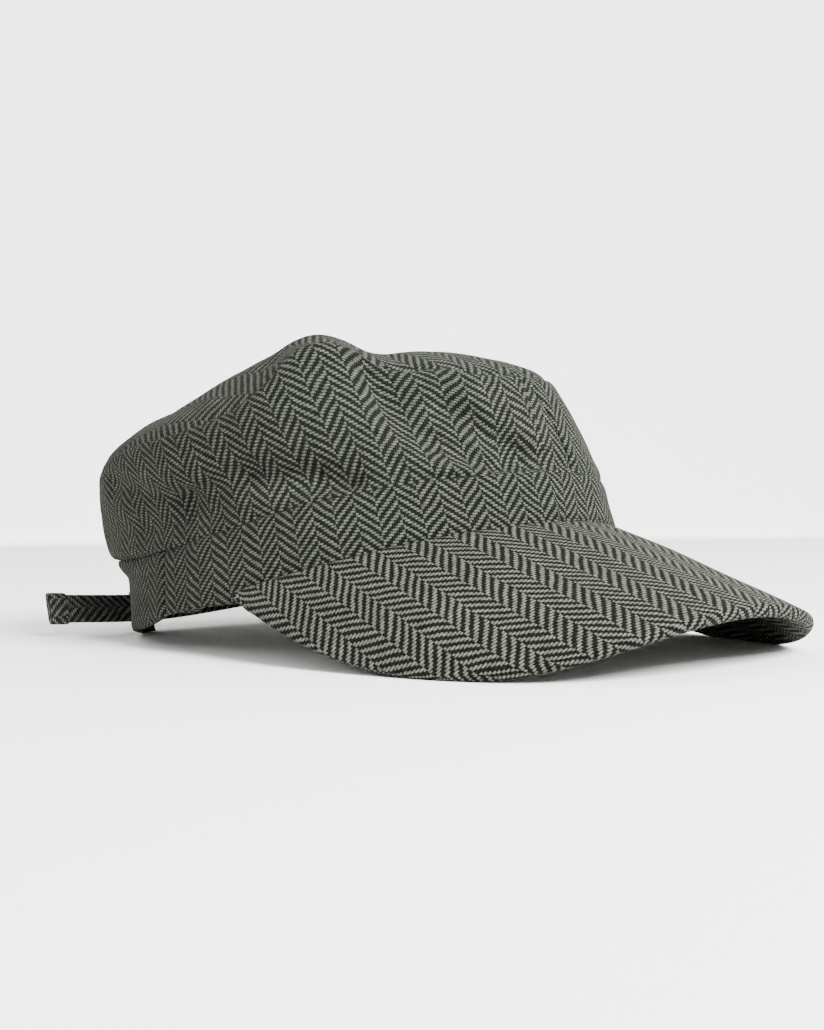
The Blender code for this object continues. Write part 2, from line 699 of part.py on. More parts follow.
def build():
    """Make every piece and stand the cap on the floor."""
    for old in list(bpy.data.objects):
        bpy.data.objects.remove(old, do_unlink=True)

    def tweed(name, colour):
        return plain_material(name + "_tweed", colour, TWEED_ROUGHNESS)

    ends = math.pi - OPENING_HALF_ANGLE
    band = band_piece("band_front", -BAND_SIDE_SEAM, BAND_SIDE_SEAM, tweed("band_front", BAND_TWEED))
    band_piece("band_back_right", -ends, -BAND_SIDE_SEAM, tweed("band_right", BAND_TWEED), band)
    band_piece("band_back_left", BAND_SIDE_SEAM, ends, tweed("band_left", BAND_TWEED), band)
    crown_side("crown_side_right", -1, tweed("side_right", CROWN_TWEED), band)
    crown_side("crown_side_left", 1, tweed("side_left", CROWN_TWEED), band)
    crown_top("crown_top", tweed("top", CROWN_TWEED), band)
    brim_solid("brim", tweed("brim", BRIM_TWEED), band)
    strap_solid("back_strap", tweed("strap", BRIM_TWEED), band)
    steel = plain_material("slide_steel", SLIDE_STEEL, STEEL_ROUGHNESS, STEEL_METALLIC)
    slide_solid("strap_slide", steel, band)
    band.rotation_euler = (-FRONT_LIFT, 0, 0)
    band.location = (0, 0, LIFT)
    centre_on_floor(band)


build()
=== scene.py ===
"""Cadet cap in herringbone wool tweed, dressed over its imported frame. Units are metres.
The cap faces -Y, its wearer's right is -X, and it stands on the floor at z = 0."""
import math

import bpy
import numpy as np
from mathutils import Euler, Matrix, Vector


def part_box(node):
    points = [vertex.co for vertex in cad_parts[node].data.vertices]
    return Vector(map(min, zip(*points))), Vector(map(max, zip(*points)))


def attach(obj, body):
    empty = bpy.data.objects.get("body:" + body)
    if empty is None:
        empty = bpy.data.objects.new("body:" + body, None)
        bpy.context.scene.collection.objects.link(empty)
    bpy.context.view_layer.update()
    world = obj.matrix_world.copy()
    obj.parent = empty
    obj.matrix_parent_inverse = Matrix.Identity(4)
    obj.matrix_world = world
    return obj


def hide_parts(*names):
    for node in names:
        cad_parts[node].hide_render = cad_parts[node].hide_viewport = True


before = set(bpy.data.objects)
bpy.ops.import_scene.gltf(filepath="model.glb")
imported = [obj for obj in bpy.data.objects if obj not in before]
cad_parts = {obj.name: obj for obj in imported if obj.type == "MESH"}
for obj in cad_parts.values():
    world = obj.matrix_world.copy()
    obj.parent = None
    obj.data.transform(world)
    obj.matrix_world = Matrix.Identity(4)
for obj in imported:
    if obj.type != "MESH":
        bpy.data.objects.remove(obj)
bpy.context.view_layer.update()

# Cloth and clearances
CROWN_CLOTH = 0.0018
BAND_CLOTH = 0.0026
STRAP_CLOTH = 0.0022
SEAM_GAP = 0.0003
BRIM_CLEAR = 0.0004
STRAP_CLEAR = 0.0004

# Band, outside measures, in the cap's own frame with the head opening level
HEAD_HALF_WIDTH = 0.0848
HEAD_HALF_LENGTH = 0.0978
BAND_TOP_HALF_WIDTH = 0.0810
BAND_TOP_HALF_LENGTH = 0.0974
BAND_SIDE_HEIGHT = 0.0212
BAND_FRONT_HEIGHT = 0.0166
BAND_BACK_HEIGHT = 0.0349
FRONT_RISE = 0.0041
BACK_RISE = 0.0043
# The lower edge hangs lower behind the ears, and the top spreads beside the back opening
SIDE_DROP = 0.0027
SIDE_DROP_ANGLE = math.radians(109)
SIDE_DROP_WIDTH = math.radians(12)
BACK_FLARE = 0.045
FLARE_FROM = math.radians(105)
FLARE_FULL = math.radians(130)
FLARE_END = math.radians(150)
FLARE_LOW = 0.70
BAND_SIDE_SEAM = math.radians(97)
OPENING_HALF_ANGLE = math.radians(31)
BACK_END = math.pi - OPENING_HALF_ANGLE
OPENING_CROWN_RISE = 0.30
FRONT_SEAM_LEAN = math.radians(10)
FRONT_SEAM_CURVE = 2.2
BAND_TUCK = 0.0012
TUCK_FULL = math.radians(62)
TUCK_NONE = math.radians(100)

# Crown
CROWN_HEIGHT = 0.0735
TOP_HEIGHT = 0.0765
TOP_FRONT_FALL = 0.0045
TOP_ROLL = 6.0
SIDE_LOW_LEVEL = 0.14
SIDE_HIGH_LEVEL = 0.80
FOLD_FADE = 0.12
DENT_FADE = 0.85

# Brim
BRIM_THICK = 0.0043
BRIM_HALF_WIDTH = 0.1108
BRIM_REACH = 0.0643
BRIM_BEND_RADIUS = 0.0811
BRIM_FRONT_FALL = 0.0452
BRIM_TIP_ANGLE = math.radians(73.7)
BRIM_ROUND = 0.964
BRIM_BOW = 0.0008
BRIM_TIP_STOP = 0.97
BRIM_NOSE_REACH = 0.27
BRIM_TIP_THICK = 0.35
BRIM_TIP_RUN = 0.045
BRIM_TIP_DROP = 0.0030
BRIM_WIDEN_POWER = 4
BRIM_DROP_POWER = 8

# Back strap and its slide
STRAP_WIDTH = 0.0108
STRAP_HEM_WIDTH = 0.0122
STRAP_HEM_CLOTH = 0.0034
STRAP_HEM = 0.0080
STRAP_TAIL = 0.0415
STRAP_TAIL_RISE = 0.0022
STRAP_TAIL_CURL = 1.2
STRAP_SEWN = 0.0160
STRAP_LEAVE = 0.0040
STRAP_STRAIGHT = 0.4
STRAP_HEIGHT = 0.0148
STRAP_FAR_RISE = 0.0045
STRAP_FAR_RUN = 0.080
STRAP_BAND_RISE = 0.32
STRAP_CORNER = 0.0007
STRAP_HEM_STEP = 0.0012
STRAP_TIP_ROUND = 0.0010
SLIDE_BAR = 0.0013
SLIDE_CLEAR = 0.0004

# How the cap stands
FRONT_LIFT = math.radians(14.2)
REST_PRESS = 0.0010

# Camera at the photo's angle: place round the cap, distance, and a 36 mm tall frame
CAMERA_AZIMUTH = -42.91
CAMERA_ELEVATION = 1.07
CAMERA_ROLL = math.radians(-0.61)
CAMERA_DISTANCE = 0.5742
CAMERA_TARGET = Vector((0.0, 0.0038, 0.0451))
CAMERA_FRAME_MM = 36
CAMERA_LENS_MM = 55.7

# Weave: one yarn, and the yarns in one herringbone stripe
YARN_MM = 0.85
STRIPE_SHIFT_MM = 8.9
STRIPE_YARNS = 8
BAND_YARN_CLOSER = 1.06
CROWN_YARN_WIDER = 0.93
BRIM_YARN_WIDER = (0.96, 0.86)
DRIFT_MM = 9.0
DRIFT_YARNS = 1.3
QUIVER_MM = 1.3
QUIVER_YARNS = 0.45
FLOAT_ARCH = 0.55
YARN_RELIEF_MM = 0.22
FIBRE_RELIEF = 0.35
# Sizes of the wool's fibres, thick spots, slubs and cloudy patches, and how far each yarn's tone swings
FIBRE_MM = 0.22
BEAD_MM = 0.75
SLUB_MM = 3.1
PATCH_MM = 38
YARN_SWING = 0.10
# How far the hollows between the yarns are darkened in the colour: painted shade
PAINTED_CREVICE_SHADE = 0.86
FUZZ = 0.7
# The grain leans, as a slope, between these places along the band from the front, in metres
LEAN_COLUMNS = ("along", "crown", "band")
GRAIN_LEANS = (
    (-0.280, 0.06, 0.00),
    (-0.160, 0.10, -0.03),
    (-0.125, 0.17, 0.04),
    (-0.085, 0.22, 0.10),
    (-0.055, 0.18, 0.14),
    (-0.025, 0.08, 0.15),
    (0.000, 0.03, 0.12),
)

# Crown sections round the band, from the front centre. Negative angles are the
# wearer's right. Outs are shares of the band's top oval, heights of CROWN_HEIGHT.
CROWN_COLUMNS = ("angle", "edge_out", "edge_height", "low_out", "high_out")
CROWN_SECTIONS = (
    (-180, 1.04, 0.850, 1.15, 1.09),
    (-150, 1.05, 0.865, 1.15, 1.09),
    (-135, 1.05, 0.870, 1.14, 1.09),
    (-118, 1.05, 0.865, 1.1, 1.08),
    (-106, 1.05, 0.840, 1.05, 1.07),
    (-93, 1.05, 0.805, 1.02, 1.07),
    (-80, 1.05, 0.775, 1.01, 1.06),
    (-70, 1.04, 0.790, 1, 1.05),
    (-62, 1.03, 0.860, 1, 1.05),
    (-54, 1.01, 0.985, 1, 1.04),
    (-48, 0.99, 1.000, 1, 1.03),
    (-42, 0.96, 0.950, 0.99, 1.01),
    (-36, 0.92, 0.860, 0.98, 0.99),
    (-30, 0.91, 0.825, 0.98, 0.98),
    (-20, 0.93, 0.810, 0.99, 0.98),
    (-12, 0.94, 0.765, 0.99, 0.99),
    (0, 0.93, 0.765, 0.99, 0.98),
    (14, 0.91, 0.780, 0.99, 0.97),
    (36, 0.86, 0.830, 0.99, 0.94),
    (60, 0.92, 0.830, 1, 0.99),
    (90, 1, 0.820, 1.02, 1.05),
    (120, 1.04, 0.850, 1.1, 1.08),
    (150, 1.04, 0.860, 1.15, 1.09),
)

# Folds of the side: each runs between two points given by angle and by rise, a
# share of the side from band to edge. Half widths and depths are shares of
# CROWN_HEIGHT, and a depth below zero goes inward.
FOLD_COLUMNS = ("from_angle", "from_rise", "to_angle", "to_rise", "half_width", "depth")
SIDE_FOLDS = (
    (-37, 0.72, -14, 0.12, 0.122, -0.068),
    (-34, 0.28, -22, 0.06, 0.095, 0.027),
    (-22, 0.62, -4, 0.10, 0.095, -0.041),
    (-128, 0.34, -80, 0.26, 0.122, -0.046),
    (-58, 0.20, -48, 0.25, 0.095, -0.020),
)

# Smaller folds over those of the solid cloth, in the same terms
FINE_FOLDS = (
    (-38, 0.93, -34, 0.66, 0.060, -0.006),
    (-35, 0.60, -27, 0.36, 0.050, -0.004),
    (-31, 0.60, -14, 0.26, 0.068, 0.019),
    (-24, 0.66, -7, 0.30, 0.066, -0.016),
    (-8, 0.30, 10, 0.10, 0.070, -0.018),
    (-112, 0.70, -88, 0.42, 0.085, -0.044),
    (-86, 0.42, -70, 0.48, 0.075, -0.040),
    (-68, 0.40, -48, 0.12, 0.075, -0.054),
    (-62, 0.70, -54, 0.50, 0.080, 0.014),
    (40, 0.60, 62, 0.20, 0.090, -0.030),
    (95, 0.30, 130, 0.46, 0.100, -0.034),
    (150, 0.75, 168, 0.50, 0.090, -0.026),
)

# Dents and rises of the top: each lies at an angle and at a reach, a share of the
# way from the middle to the edge. Half widths and heights are shares of CROWN_HEIGHT.
DENT_COLUMNS = ("angle", "reach", "half_width", "height")
TOP_DENTS = (
    (-49, 0.88, 0.23, 0.061),
    (-62, 0.82, 0.22, 0.027),
    (-28, 0.50, 0.30, -0.012),
    (150, 0.50, 0.41, -0.054),
)

# Smaller rises of the top over those of the solid cloth, in the same terms
FINE_DENTS = (
    (-72, 0.74, 0.26, 0.040),
    (-10, 0.60, 0.30, 0.012),
)

# Seams: how far the cloth turns in at a seam, and how the allowance and the stitches show
SEAM_CLOSE = 0.00008
SEAM_DIP = 0.0005
SEAM_DIP_WIDTH = 0.0011
ALLOWANCE_SWELL = 0.0003
ALLOWANCE_PLACE = 0.0042
ALLOWANCE_WIDTH = 0.0026
STITCH_HELD = 0.0015
PUCKER = 0.00010
PUCKER_PERIOD = 0.0052
PUCKER_REACH = 0.0060
GATHER = 0.00025
GATHER_PERIOD = 0.0230
GATHER_REACH = 0.0150
ALLOWANCE_DOWN = 0.0070
ALLOWANCE_CLOTH = 0.0012
ALLOWANCE_FADE = math.radians(5)
END_FLAT = math.radians(6)
# Share of the full gathers that each seam shows
BAND_SEAM_GATHER = 0.35
BAND_END_GATHER = 0.2
TOP_SEAM_GATHER = 1.2
FRONT_SEAM_GATHER = 0.8
BACK_SEAM_GATHER = 0.6
# Both cloths at a seam share one seed, so that their puckers meet
CROWN_BAND_SEED = 11
CROWN_TOP_SEED = 23

# Fine shape of the cloth
HEM_ROLL = 0.0006
HEM_ROLL_WIDTH = 0.0010
BAND_WAVE = 0.0003
BAND_WAVE_SIZE = 0.031
BAND_WAVE_FROM = 0.25
SIDE_RUFFLE = 0.0005
SIDE_RUFFLE_SIZE = 0.027
SIDE_RUFFLE_HELD = 0.012
OPENING_CLOTH = 0.05
TOP_RUFFLE = 0.0007
TOP_RUFFLE_SIZE = 0.036
TOP_RUFFLE_HELD = 0.020
TOP_SEED = 41
BRIM_SWELL = 0.0004
BRIM_SWELL_SIZE = 0.045
BRIM_SEED = 61
BRIM_ROOT_ROLL = 0.0020
BRIM_NOSE_POINTS = 8
STRAP_WAVE = 0.00015
STRAP_WAVE_SIZE = 0.017
STRAP_WAVE_LEAN = 0.004
STRAP_EDGE_POWER = 6
STRAP_SEED = 71
STRAP_STRIPE_MM = 3.2

# Grids, and how closely the top's grid is drawn toward its rim
BAND_COLUMN = 0.0011
BAND_ROWS = 28
SIDE_COLUMNS = 280
SIDE_ROWS = 64
TOP_GRID = 150
TOP_GRID_DRAW = 0.94
BRIM_STATIONS = 220
BRIM_ROWS = 60
STRAP_ROWS = 12

# Where a piece's faces lie on its square of the bake: its walls, and a narrow strip for each end
BAKE_WALLS = 0.96
BAKE_FIRST_END = 0.965
BAKE_LAST_END = 0.985
BAKE_END_WIDTH = 0.014

# Studio: floor out to its sweep, the sweep's radius, the wall's top, and the wall light's place
FLOOR_RADIUS = 1.6
SWEEP_RADIUS = 1.4
WALL_TOP = 4.0
BACKDROP_HEIGHT = 0.9
BACKDROP_TILT = math.degrees(math.atan(0.25))


def table(columns, rows):
    """Turn a table of rows into one array for each named column."""
    return {name: np.array([row[i] for row in rows], float) for i, name in enumerate(columns)}


CROWN = table(CROWN_COLUMNS, CROWN_SECTIONS)
LEANS = table(LEAN_COLUMNS, GRAIN_LEANS)


def grain_lean(part, along):
    """How the grain leans on the crown or the band, the far half mirroring the near one."""
    side = np.interp(-np.abs(along), LEANS["along"], LEANS[part])
    return side * np.where(along < 0, 1, -1)


def around(column, angle):
    """Smooth value of a crown column at an angle, going right round the head."""
    knots = np.radians(CROWN["angle"])
    turn = 2 * math.pi
    angle = (np.asarray(angle, float) + math.pi) % turn - math.pi
    knots = np.concatenate([knots[-2:] - turn, knots, knots[:3] + turn])
    values = np.concatenate([CROWN[column][-2:], CROWN[column], CROWN[column][:3]])
    slopes = np.gradient(values, knots)
    here = np.clip(np.searchsorted(knots, angle) - 1, 0, len(knots) - 2)
    span = knots[here + 1] - knots[here]
    t = (angle - knots[here]) / span
    return ((2 * t**3 - 3 * t**2 + 1) * values[here] + (t**3 - 2 * t**2 + t) * span * slopes[here]
            + (3 * t**2 - 2 * t**3) * values[here + 1] + (t**3 - t**2) * span * slopes[here + 1])


def oval(half_width, half_length, angle):
    """Plan point of a head oval at an angle from the front centre."""
    return np.stack([half_width * np.sin(angle), -half_length * np.cos(angle)], -1)


def point(plan, height):
    """Join plan points and heights."""
    return np.concatenate([plan, np.asarray(height)[..., None]], -1)


def smooth(low, high, value):
    """Smooth step from 0 at low to 1 at high."""
    t = np.clip((value - low) / (high - low), 0, 1)
    return t * t * (3 - 2 * t)


def front_share(angle):
    """1 at the front centre, 0 from the brim's tips backward."""
    turn = np.clip(angle / BRIM_TIP_ANGLE, -1, 1) * math.pi / 2
    return np.cos(turn)


def back_share(angle):
    """1 at the back centre, 0 from the sides forward."""
    return np.maximum(-np.cos(angle), 0)


def side_drop(angle):
    """How much lower the band's lower edge hangs behind the ears."""
    return SIDE_DROP * np.exp(-((np.abs(angle) - SIDE_DROP_ANGLE) / SIDE_DROP_WIDTH) ** 2)


def back_flare(angle):
    """Share by which the band's top spreads out beside the back opening."""
    side = np.abs(angle)
    return BACK_FLARE * smooth(FLARE_FROM, FLARE_FULL, side) * (1 - smooth(FLARE_END, math.pi, side))


def band_low(angle):
    """Height of the band's lower edge."""
    return FRONT_RISE * front_share(angle) + BACK_RISE * back_share(angle) - side_drop(angle)


def band_tall(angle):
    """Height of the band itself."""
    return (BAND_SIDE_HEIGHT + side_drop(angle)
            + (BAND_FRONT_HEIGHT - BAND_SIDE_HEIGHT) * front_share(angle) ** 2
            + (BAND_BACK_HEIGHT - BAND_SIDE_HEIGHT) * back_share(angle) ** 2)


def band_surface(angle, rise):
    """Outside of the band: rise 0 is the lower edge and 1 the seam to the crown."""
    angle, rise = np.broadcast_arrays(angle, rise)
    low = oval(HEAD_HALF_WIDTH, HEAD_HALF_LENGTH, angle)
    top = oval(BAND_TOP_HALF_WIDTH, BAND_TOP_HALF_LENGTH, angle)
    held = np.clip(rise, 0, None)[..., None]
    spread = 1 + (back_flare(angle) * smooth(FLARE_LOW, 1, rise))[..., None]
    return point((low + (top - low) * held) * spread, band_low(angle) + band_tall(angle) * rise)


def bezier(a, b, c, d, t):
    """Cubic curve through its first and last values."""
    u = 1 - t
    return a * u**3 + 3 * b * u * u * t + 3 * c * u * t * t + d * t**3


def plain_side(angle, rise):
    """Outside of the crown's side before its folds."""
    base = band_low(angle) + band_tall(angle)
    edge = around("edge_height", angle) * CROWN_HEIGHT
    tall = edge - base
    outs = [around(name, angle) for name in ("low_out", "high_out", "edge_out")]
    out = bezier(1 + back_flare(angle), *outs, rise)
    height = bezier(base, base + SIDE_LOW_LEVEL * tall, base + SIDE_HIGH_LEVEL * tall, edge, rise)
    plan = oval(BAND_TOP_HALF_WIDTH, BAND_TOP_HALF_LENGTH, angle) * out[..., None]
    return point(plan, height)


def facing(surface, angle, rise):
    """Outward normals of a surface, from small steps along it."""
    step = 0.002
    along = surface(angle + step, rise) - surface(angle - step, rise)
    up = surface(angle, rise + step) - surface(angle, rise - step)
    normal = np.cross(along, up)
    return normal / np.linalg.norm(normal, axis=-1, keepdims=True)


def fold_depth(angle, rise, folds):
    """How far the folds move the side in or out."""
    across = (BAND_TOP_HALF_WIDTH + BAND_TOP_HALF_LENGTH) / 2
    tall = CROWN_HEIGHT - BAND_SIDE_HEIGHT
    here = np.stack([angle * across, rise * tall], -1)
    total = np.zeros(np.shape(angle))
    for row in folds:
        fold = dict(zip(FOLD_COLUMNS, row))
        start = np.array([math.radians(fold["from_angle"]) * across, fold["from_rise"] * tall])
        end = np.array([math.radians(fold["to_angle"]) * across, fold["to_rise"] * tall])
        run = end - start
        t = np.clip((here - start) @ run / (run @ run), 0, 1)
        away = np.linalg.norm(here - start - t[..., None] * run, axis=-1)
        spread = away / (fold["half_width"] * CROWN_HEIGHT)
        total += fold["depth"] * CROWN_HEIGHT * np.exp(-spread ** 2)
    return total * smooth(0, FOLD_FADE, rise) * smooth(0, FOLD_FADE, 1 - rise)


def side_surface(angle, rise):
    """Outside of the crown's side with its folds."""
    angle, rise = np.broadcast_arrays(np.asarray(angle, float), np.asarray(rise, float))
    plain = plain_side(angle, rise)
    return plain + facing(plain_side, angle, rise) * fold_depth(angle, rise, SIDE_FOLDS)[..., None]


def top_surface(angle, reach, dents=TOP_DENTS + FINE_DENTS):
    """Outside of the top panel: reach 0 is its middle and 1 its seamed edge."""
    angle, reach = np.broadcast_arrays(np.asarray(angle, float), np.asarray(reach, float))
    edge = plain_side(angle, np.ones_like(angle))
    middle = TOP_MIDDLE
    plan = middle + (edge[..., :2] - middle) * reach[..., None]
    forward = np.minimum(plan[..., 1], 0) / HEAD_HALF_LENGTH
    level = TOP_HEIGHT - TOP_FRONT_FALL * forward ** 2
    height = level + (edge[..., 2] - level) * reach ** TOP_ROLL
    for row in dents:
        dent = dict(zip(DENT_COLUMNS, row))
        at = math.radians(dent["angle"])
        rim = plain_side(np.array(at), np.array(1.0))[:2]
        where = middle + (rim - middle) * dent["reach"]
        away = np.linalg.norm(plan - where, axis=-1)
        spread = away / (dent["half_width"] * CROWN_HEIGHT)
        held = 1 - smooth(DENT_FADE, 1, reach)
        height = height + dent["height"] * CROWN_HEIGHT * np.exp(-spread ** 2) * held
    return point(plan, height)


def top_middle():
    """Plan point under the middle of the top panel."""
    rim = plain_side(np.radians(np.arange(-180, 180, 5.0)), np.ones(72))[:, :2]
    return (rim.min(0) + rim.max(0)) / 2


TOP_MIDDLE = top_middle()


def opening_rise(angle):
    """Share of the crown's side that the back opening takes away, by angle."""
    across = (math.pi - np.abs(angle)) / OPENING_HALF_ANGLE
    return OPENING_CROWN_RISE * np.sqrt(np.clip(1 - across ** 2, 0, 1))


def attitude(points):
    """From the cap's own frame to how it stands, with the front lifted."""
    y, z = points[..., 1], points[..., 2]
    c, s = math.cos(FRONT_LIFT), math.sin(FRONT_LIFT)
    return np.stack([points[..., 0], y * c + z * s, z * c - y * s], -1)


def brim_edge(turn):
    """Lower outer edge of the brim, for turn from -1 at one tip to 1 at the other."""
    t = turn * math.pi / 2
    forward = np.maximum(np.cos(t), 1e-9) ** BRIM_ROUND
    across = BRIM_HALF_WIDTH * np.sign(t) * np.abs(np.sin(t)) ** BRIM_ROUND
    tip_y = -HEAD_HALF_LENGTH * math.cos(BRIM_TIP_ANGLE)
    reach = HEAD_HALF_LENGTH + BRIM_REACH + tip_y
    tip_x = BRIM_BEND_RADIUS * math.sin(BRIM_HALF_WIDTH / BRIM_BEND_RADIUS)
    outside = HEAD_HALF_WIDTH * math.sin(BRIM_TIP_ANGLE) + BRIM_THICK * BRIM_TIP_THICK + 2 * SEAM_GAP
    widen = 1 + (outside / tip_x - 1) * (across / BRIM_HALF_WIDTH) ** BRIM_WIDEN_POWER
    x = BRIM_BEND_RADIUS * np.sin(across / BRIM_BEND_RADIUS) * widen
    tip_turn = math.cos(BRIM_HALF_WIDTH / BRIM_BEND_RADIUS)
    bend = BRIM_BEND_RADIUS * (np.cos(across / BRIM_BEND_RADIUS) - tip_turn)
    middle = BRIM_BEND_RADIUS * (1 - tip_turn) - FRONT_RISE + BRIM_FRONT_FALL
    fall = BRIM_TIP_DROP * (across / BRIM_HALF_WIDTH) ** BRIM_DROP_POWER
    return np.stack([x, tip_y - reach * forward, bend - middle * forward - fall], -1)


def brim_root(turn):
    """Where the brim's top meets the band, at the same turn as its edge."""
    widest = brim_edge(np.array(1.0))[0]
    share = brim_edge(turn)[..., 0] / widest * math.sin(BRIM_TIP_ANGLE)
    angle = np.arcsin(np.clip(share, -1, 1))
    plan = oval(HEAD_HALF_WIDTH + BRIM_CLEAR, HEAD_HALF_LENGTH + BRIM_CLEAR, angle)
    return point(plan, band_low(angle))


def rest_lift():
    """How far the cap is lifted so that it just presses on the floor."""
    angles = np.linspace(-math.pi, math.pi, 721)
    clear = np.abs(angles) < math.pi - OPENING_HALF_ANGLE
    band = attitude(band_surface(angles[clear], 0 * angles[clear]))[:, 2].min()
    brim = attitude(brim_edge(np.linspace(-1, 1, 401)))[:, 2].min()
    return -max(band, brim) - REST_PRESS


def standing_place():
    """Where the cap's own origin stands: over the floor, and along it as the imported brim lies."""
    low, high = (np.array(corner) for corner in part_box("brim"))
    front = attitude(brim_edge(np.linspace(-1, 1, 401)))[:, 1].min() - BRIM_NOSE_REACH * BRIM_THICK
    return np.array([(low[0] + high[0]) / 2, low[1] - front, rest_lift()])


PLACE = standing_place()


def linear(code):
    """An sRGB hex colour as linear red, green, blue and alpha."""
    parts = [int(code[i:i + 2], 16) / 255 for i in (1, 3, 5)]
    return (*(c / 12.92 if c <= 0.04045 else ((c + 0.055) / 1.055) ** 2.4 for c in parts), 1.0)


def waver(along, period, seed):
    """A soft irregular wave of about the given period, between -1 and 1."""
    draw = np.random.default_rng(seed)
    total = np.zeros(np.shape(along))
    for share in (1.0, 0.71, 1.37, 0.53):
        size = period * share * draw.uniform(0.93, 1.07)
        total += np.sin(2 * math.pi * along / size + draw.uniform(0, 6.28))
    return total / 4


def ruffle(u, v, period, seed):
    """Soft irregular hills over a flat cloth, between about -1 and 1."""
    draw = np.random.default_rng(seed)
    total = np.zeros(np.shape(u))
    for _ in range(7):
        turn = draw.uniform(0, 2 * math.pi)
        size = period * draw.uniform(0.7, 1.5)
        along = u * math.cos(turn) + v * math.sin(turn)
        across = u * math.sin(turn) - v * math.cos(turn)
        bend = 0.35 * np.sin(2 * math.pi * across / (period * 2.3))
        total += np.sin(2 * math.pi * along / size + bend + draw.uniform(0, 6.28))
    return total / 4


def seam_pull(away, along, seed, gather=1.0):
    """How a seam moves the cloth beside it: turned in at the stitches, swollen over the allowance
    and puckered."""
    dip = -SEAM_DIP * np.exp(-(away / SEAM_DIP_WIDTH) ** 2)
    swell = ALLOWANCE_SWELL * np.exp(-((away - ALLOWANCE_PLACE) / ALLOWANCE_WIDTH) ** 2)
    pucker = PUCKER * waver(along, PUCKER_PERIOD, seed) * np.exp(-away / PUCKER_REACH)
    gathers = gather * GATHER * waver(along, GATHER_PERIOD, seed + 1) * np.exp(-away / GATHER_REACH)
    return dip + swell + (pucker + gathers) * smooth(0, STITCH_HELD, away)


def off_the_end(angle):
    """0 where the back opening starts and the seam lies flat, 1 away from it."""
    return 1 - np.exp(-((np.abs(angle) - BACK_END) / END_FLAT) ** 2)


def run_length(points, axis):
    """Distance travelled along one axis of a grid of points."""
    steps = np.linalg.norm(np.diff(points, axis=axis), axis=-1)
    start = np.zeros_like(np.take(steps, [0], axis=axis))
    return np.concatenate([start, np.cumsum(steps, axis=axis)], axis=axis)


def grid_normals(points):
    """Outward normals of a grid of points with rows upward and columns turning with the angle."""
    along = np.gradient(points, axis=1)
    up = np.gradient(points, axis=0)
    normal = np.cross(along, up)
    return normal / np.maximum(np.linalg.norm(normal, axis=-1, keepdims=True), 1e-12)


def stand(points):
    """Put points of the cap's own frame where the cap stands, pressed flat where they meet the floor."""
    there = attitude(points) + PLACE
    there[..., 2] = np.maximum(there[..., 2], 0.0)
    return there


def add_mesh(name, points, quads, cloth, bake, material):
    """One mesh piece from points, quads and, for each quad's corners, places on the cloth and on
    the bake."""
    mesh = bpy.data.meshes.new(name)
    mesh.vertices.add(len(points))
    mesh.vertices.foreach_set("co", np.asarray(points, np.float32).ravel())
    mesh.loops.add(quads.size)
    mesh.loops.foreach_set("vertex_index", quads.ravel().astype(np.int32))
    mesh.polygons.add(len(quads))
    mesh.polygons.foreach_set("loop_start", np.arange(0, quads.size, 4, dtype=np.int32))
    mesh.polygons.foreach_set("loop_total", np.full(len(quads), 4, np.int32))
    for layer, values in (("cloth", cloth), ("OFBake", bake)):
        made = mesh.uv_layers.new(name=layer)
        made.data.foreach_set("uv", np.asarray(values, np.float32).ravel())
    mesh.update(calc_edges=True)
    mesh.validate()
    mesh.materials.append(material)
    mesh.shade_smooth()
    piece = bpy.data.objects.new(name, mesh)
    bpy.context.scene.collection.objects.link(piece)
    return piece


def cell_corners(values):
    """The four corners of every cell of a grid, in the order of its quads."""
    return np.stack([values[:-1, :-1], values[1:, :-1], values[1:, 1:], values[:-1, 1:]], 2)


def skin(name, loops, cloth, material):
    """Closed piece skinned over a row of closed loops. The first half of each loop is its outer
    face and the second half its inner face, back again. cloth holds each loop point's place on
    the flat cloth in mm, with the first point's place again at the end."""
    count, size = loops.shape[:2]
    index = np.arange(count * size).reshape(count, size)
    index = np.concatenate([index, index[:, :1]], 1)
    quads = cell_corners(index).reshape(-1, 4)
    length = run_length(loops.mean(1), 0)
    length = length / length[-1] * BAKE_WALLS
    closed = np.concatenate([loops, loops[:, :1]], 1)
    girth = run_length(closed, 1)
    girth = girth / girth[:, -1:]
    places = np.stack([np.broadcast_to(length[:, None], girth.shape), girth], -1)
    cell_cloth = cell_corners(cloth).reshape(-1, 4, 2)
    cell_bake = cell_corners(places).reshape(-1, 4, 2)
    half = size // 2
    near = np.arange(half - 1)
    far = size - 1 - near
    caps, cap_cloth, cap_bake = [], [], []
    for row, flip, left in ((0, True, BAKE_FIRST_END), (count - 1, False, BAKE_LAST_END)):
        quad = np.stack([index[row, near], index[row, far], index[row, far - 1], index[row, near + 1]], 1)
        edge = cloth[row]
        thick = np.linalg.norm(loops[row, near] - loops[row, far], axis=-1)[:, None] * [[1000, 0]]
        uv = np.stack([edge[near], edge[near] + thick, edge[near + 1] + thick, edge[near + 1]], 1)
        low, high = near / half, (near + 1) / half
        across = np.tile(left + BAKE_END_WIDTH * np.array([0, 1, 1, 0]), (half - 1, 1))
        spot = np.stack([across, np.stack([low, low, high, high], 1)], -1)
        if flip:
            quad, uv, spot = quad[:, ::-1], uv[:, ::-1], spot[:, ::-1]
        caps.append(quad)
        cap_cloth.append(uv)
        cap_bake.append(spot)
    quads = np.concatenate([quads] + caps)
    cell_cloth = np.concatenate([cell_cloth] + cap_cloth)
    cell_bake = np.concatenate([cell_bake] + cap_bake)
    return add_mesh(name, stand(loops).reshape(-1, 3), quads, cell_cloth, cell_bake, material)


def cloth_loops(outer, thick):
    """Loops for one layer of cloth: up the outer face and down the inner one.
    outer has rows upward and columns along; each column gives one loop."""
    normal = grid_normals(outer)
    inner = outer - normal * thick
    both = np.concatenate([outer, inner[::-1]], 0)
    return np.swapaxes(both, 0, 1)


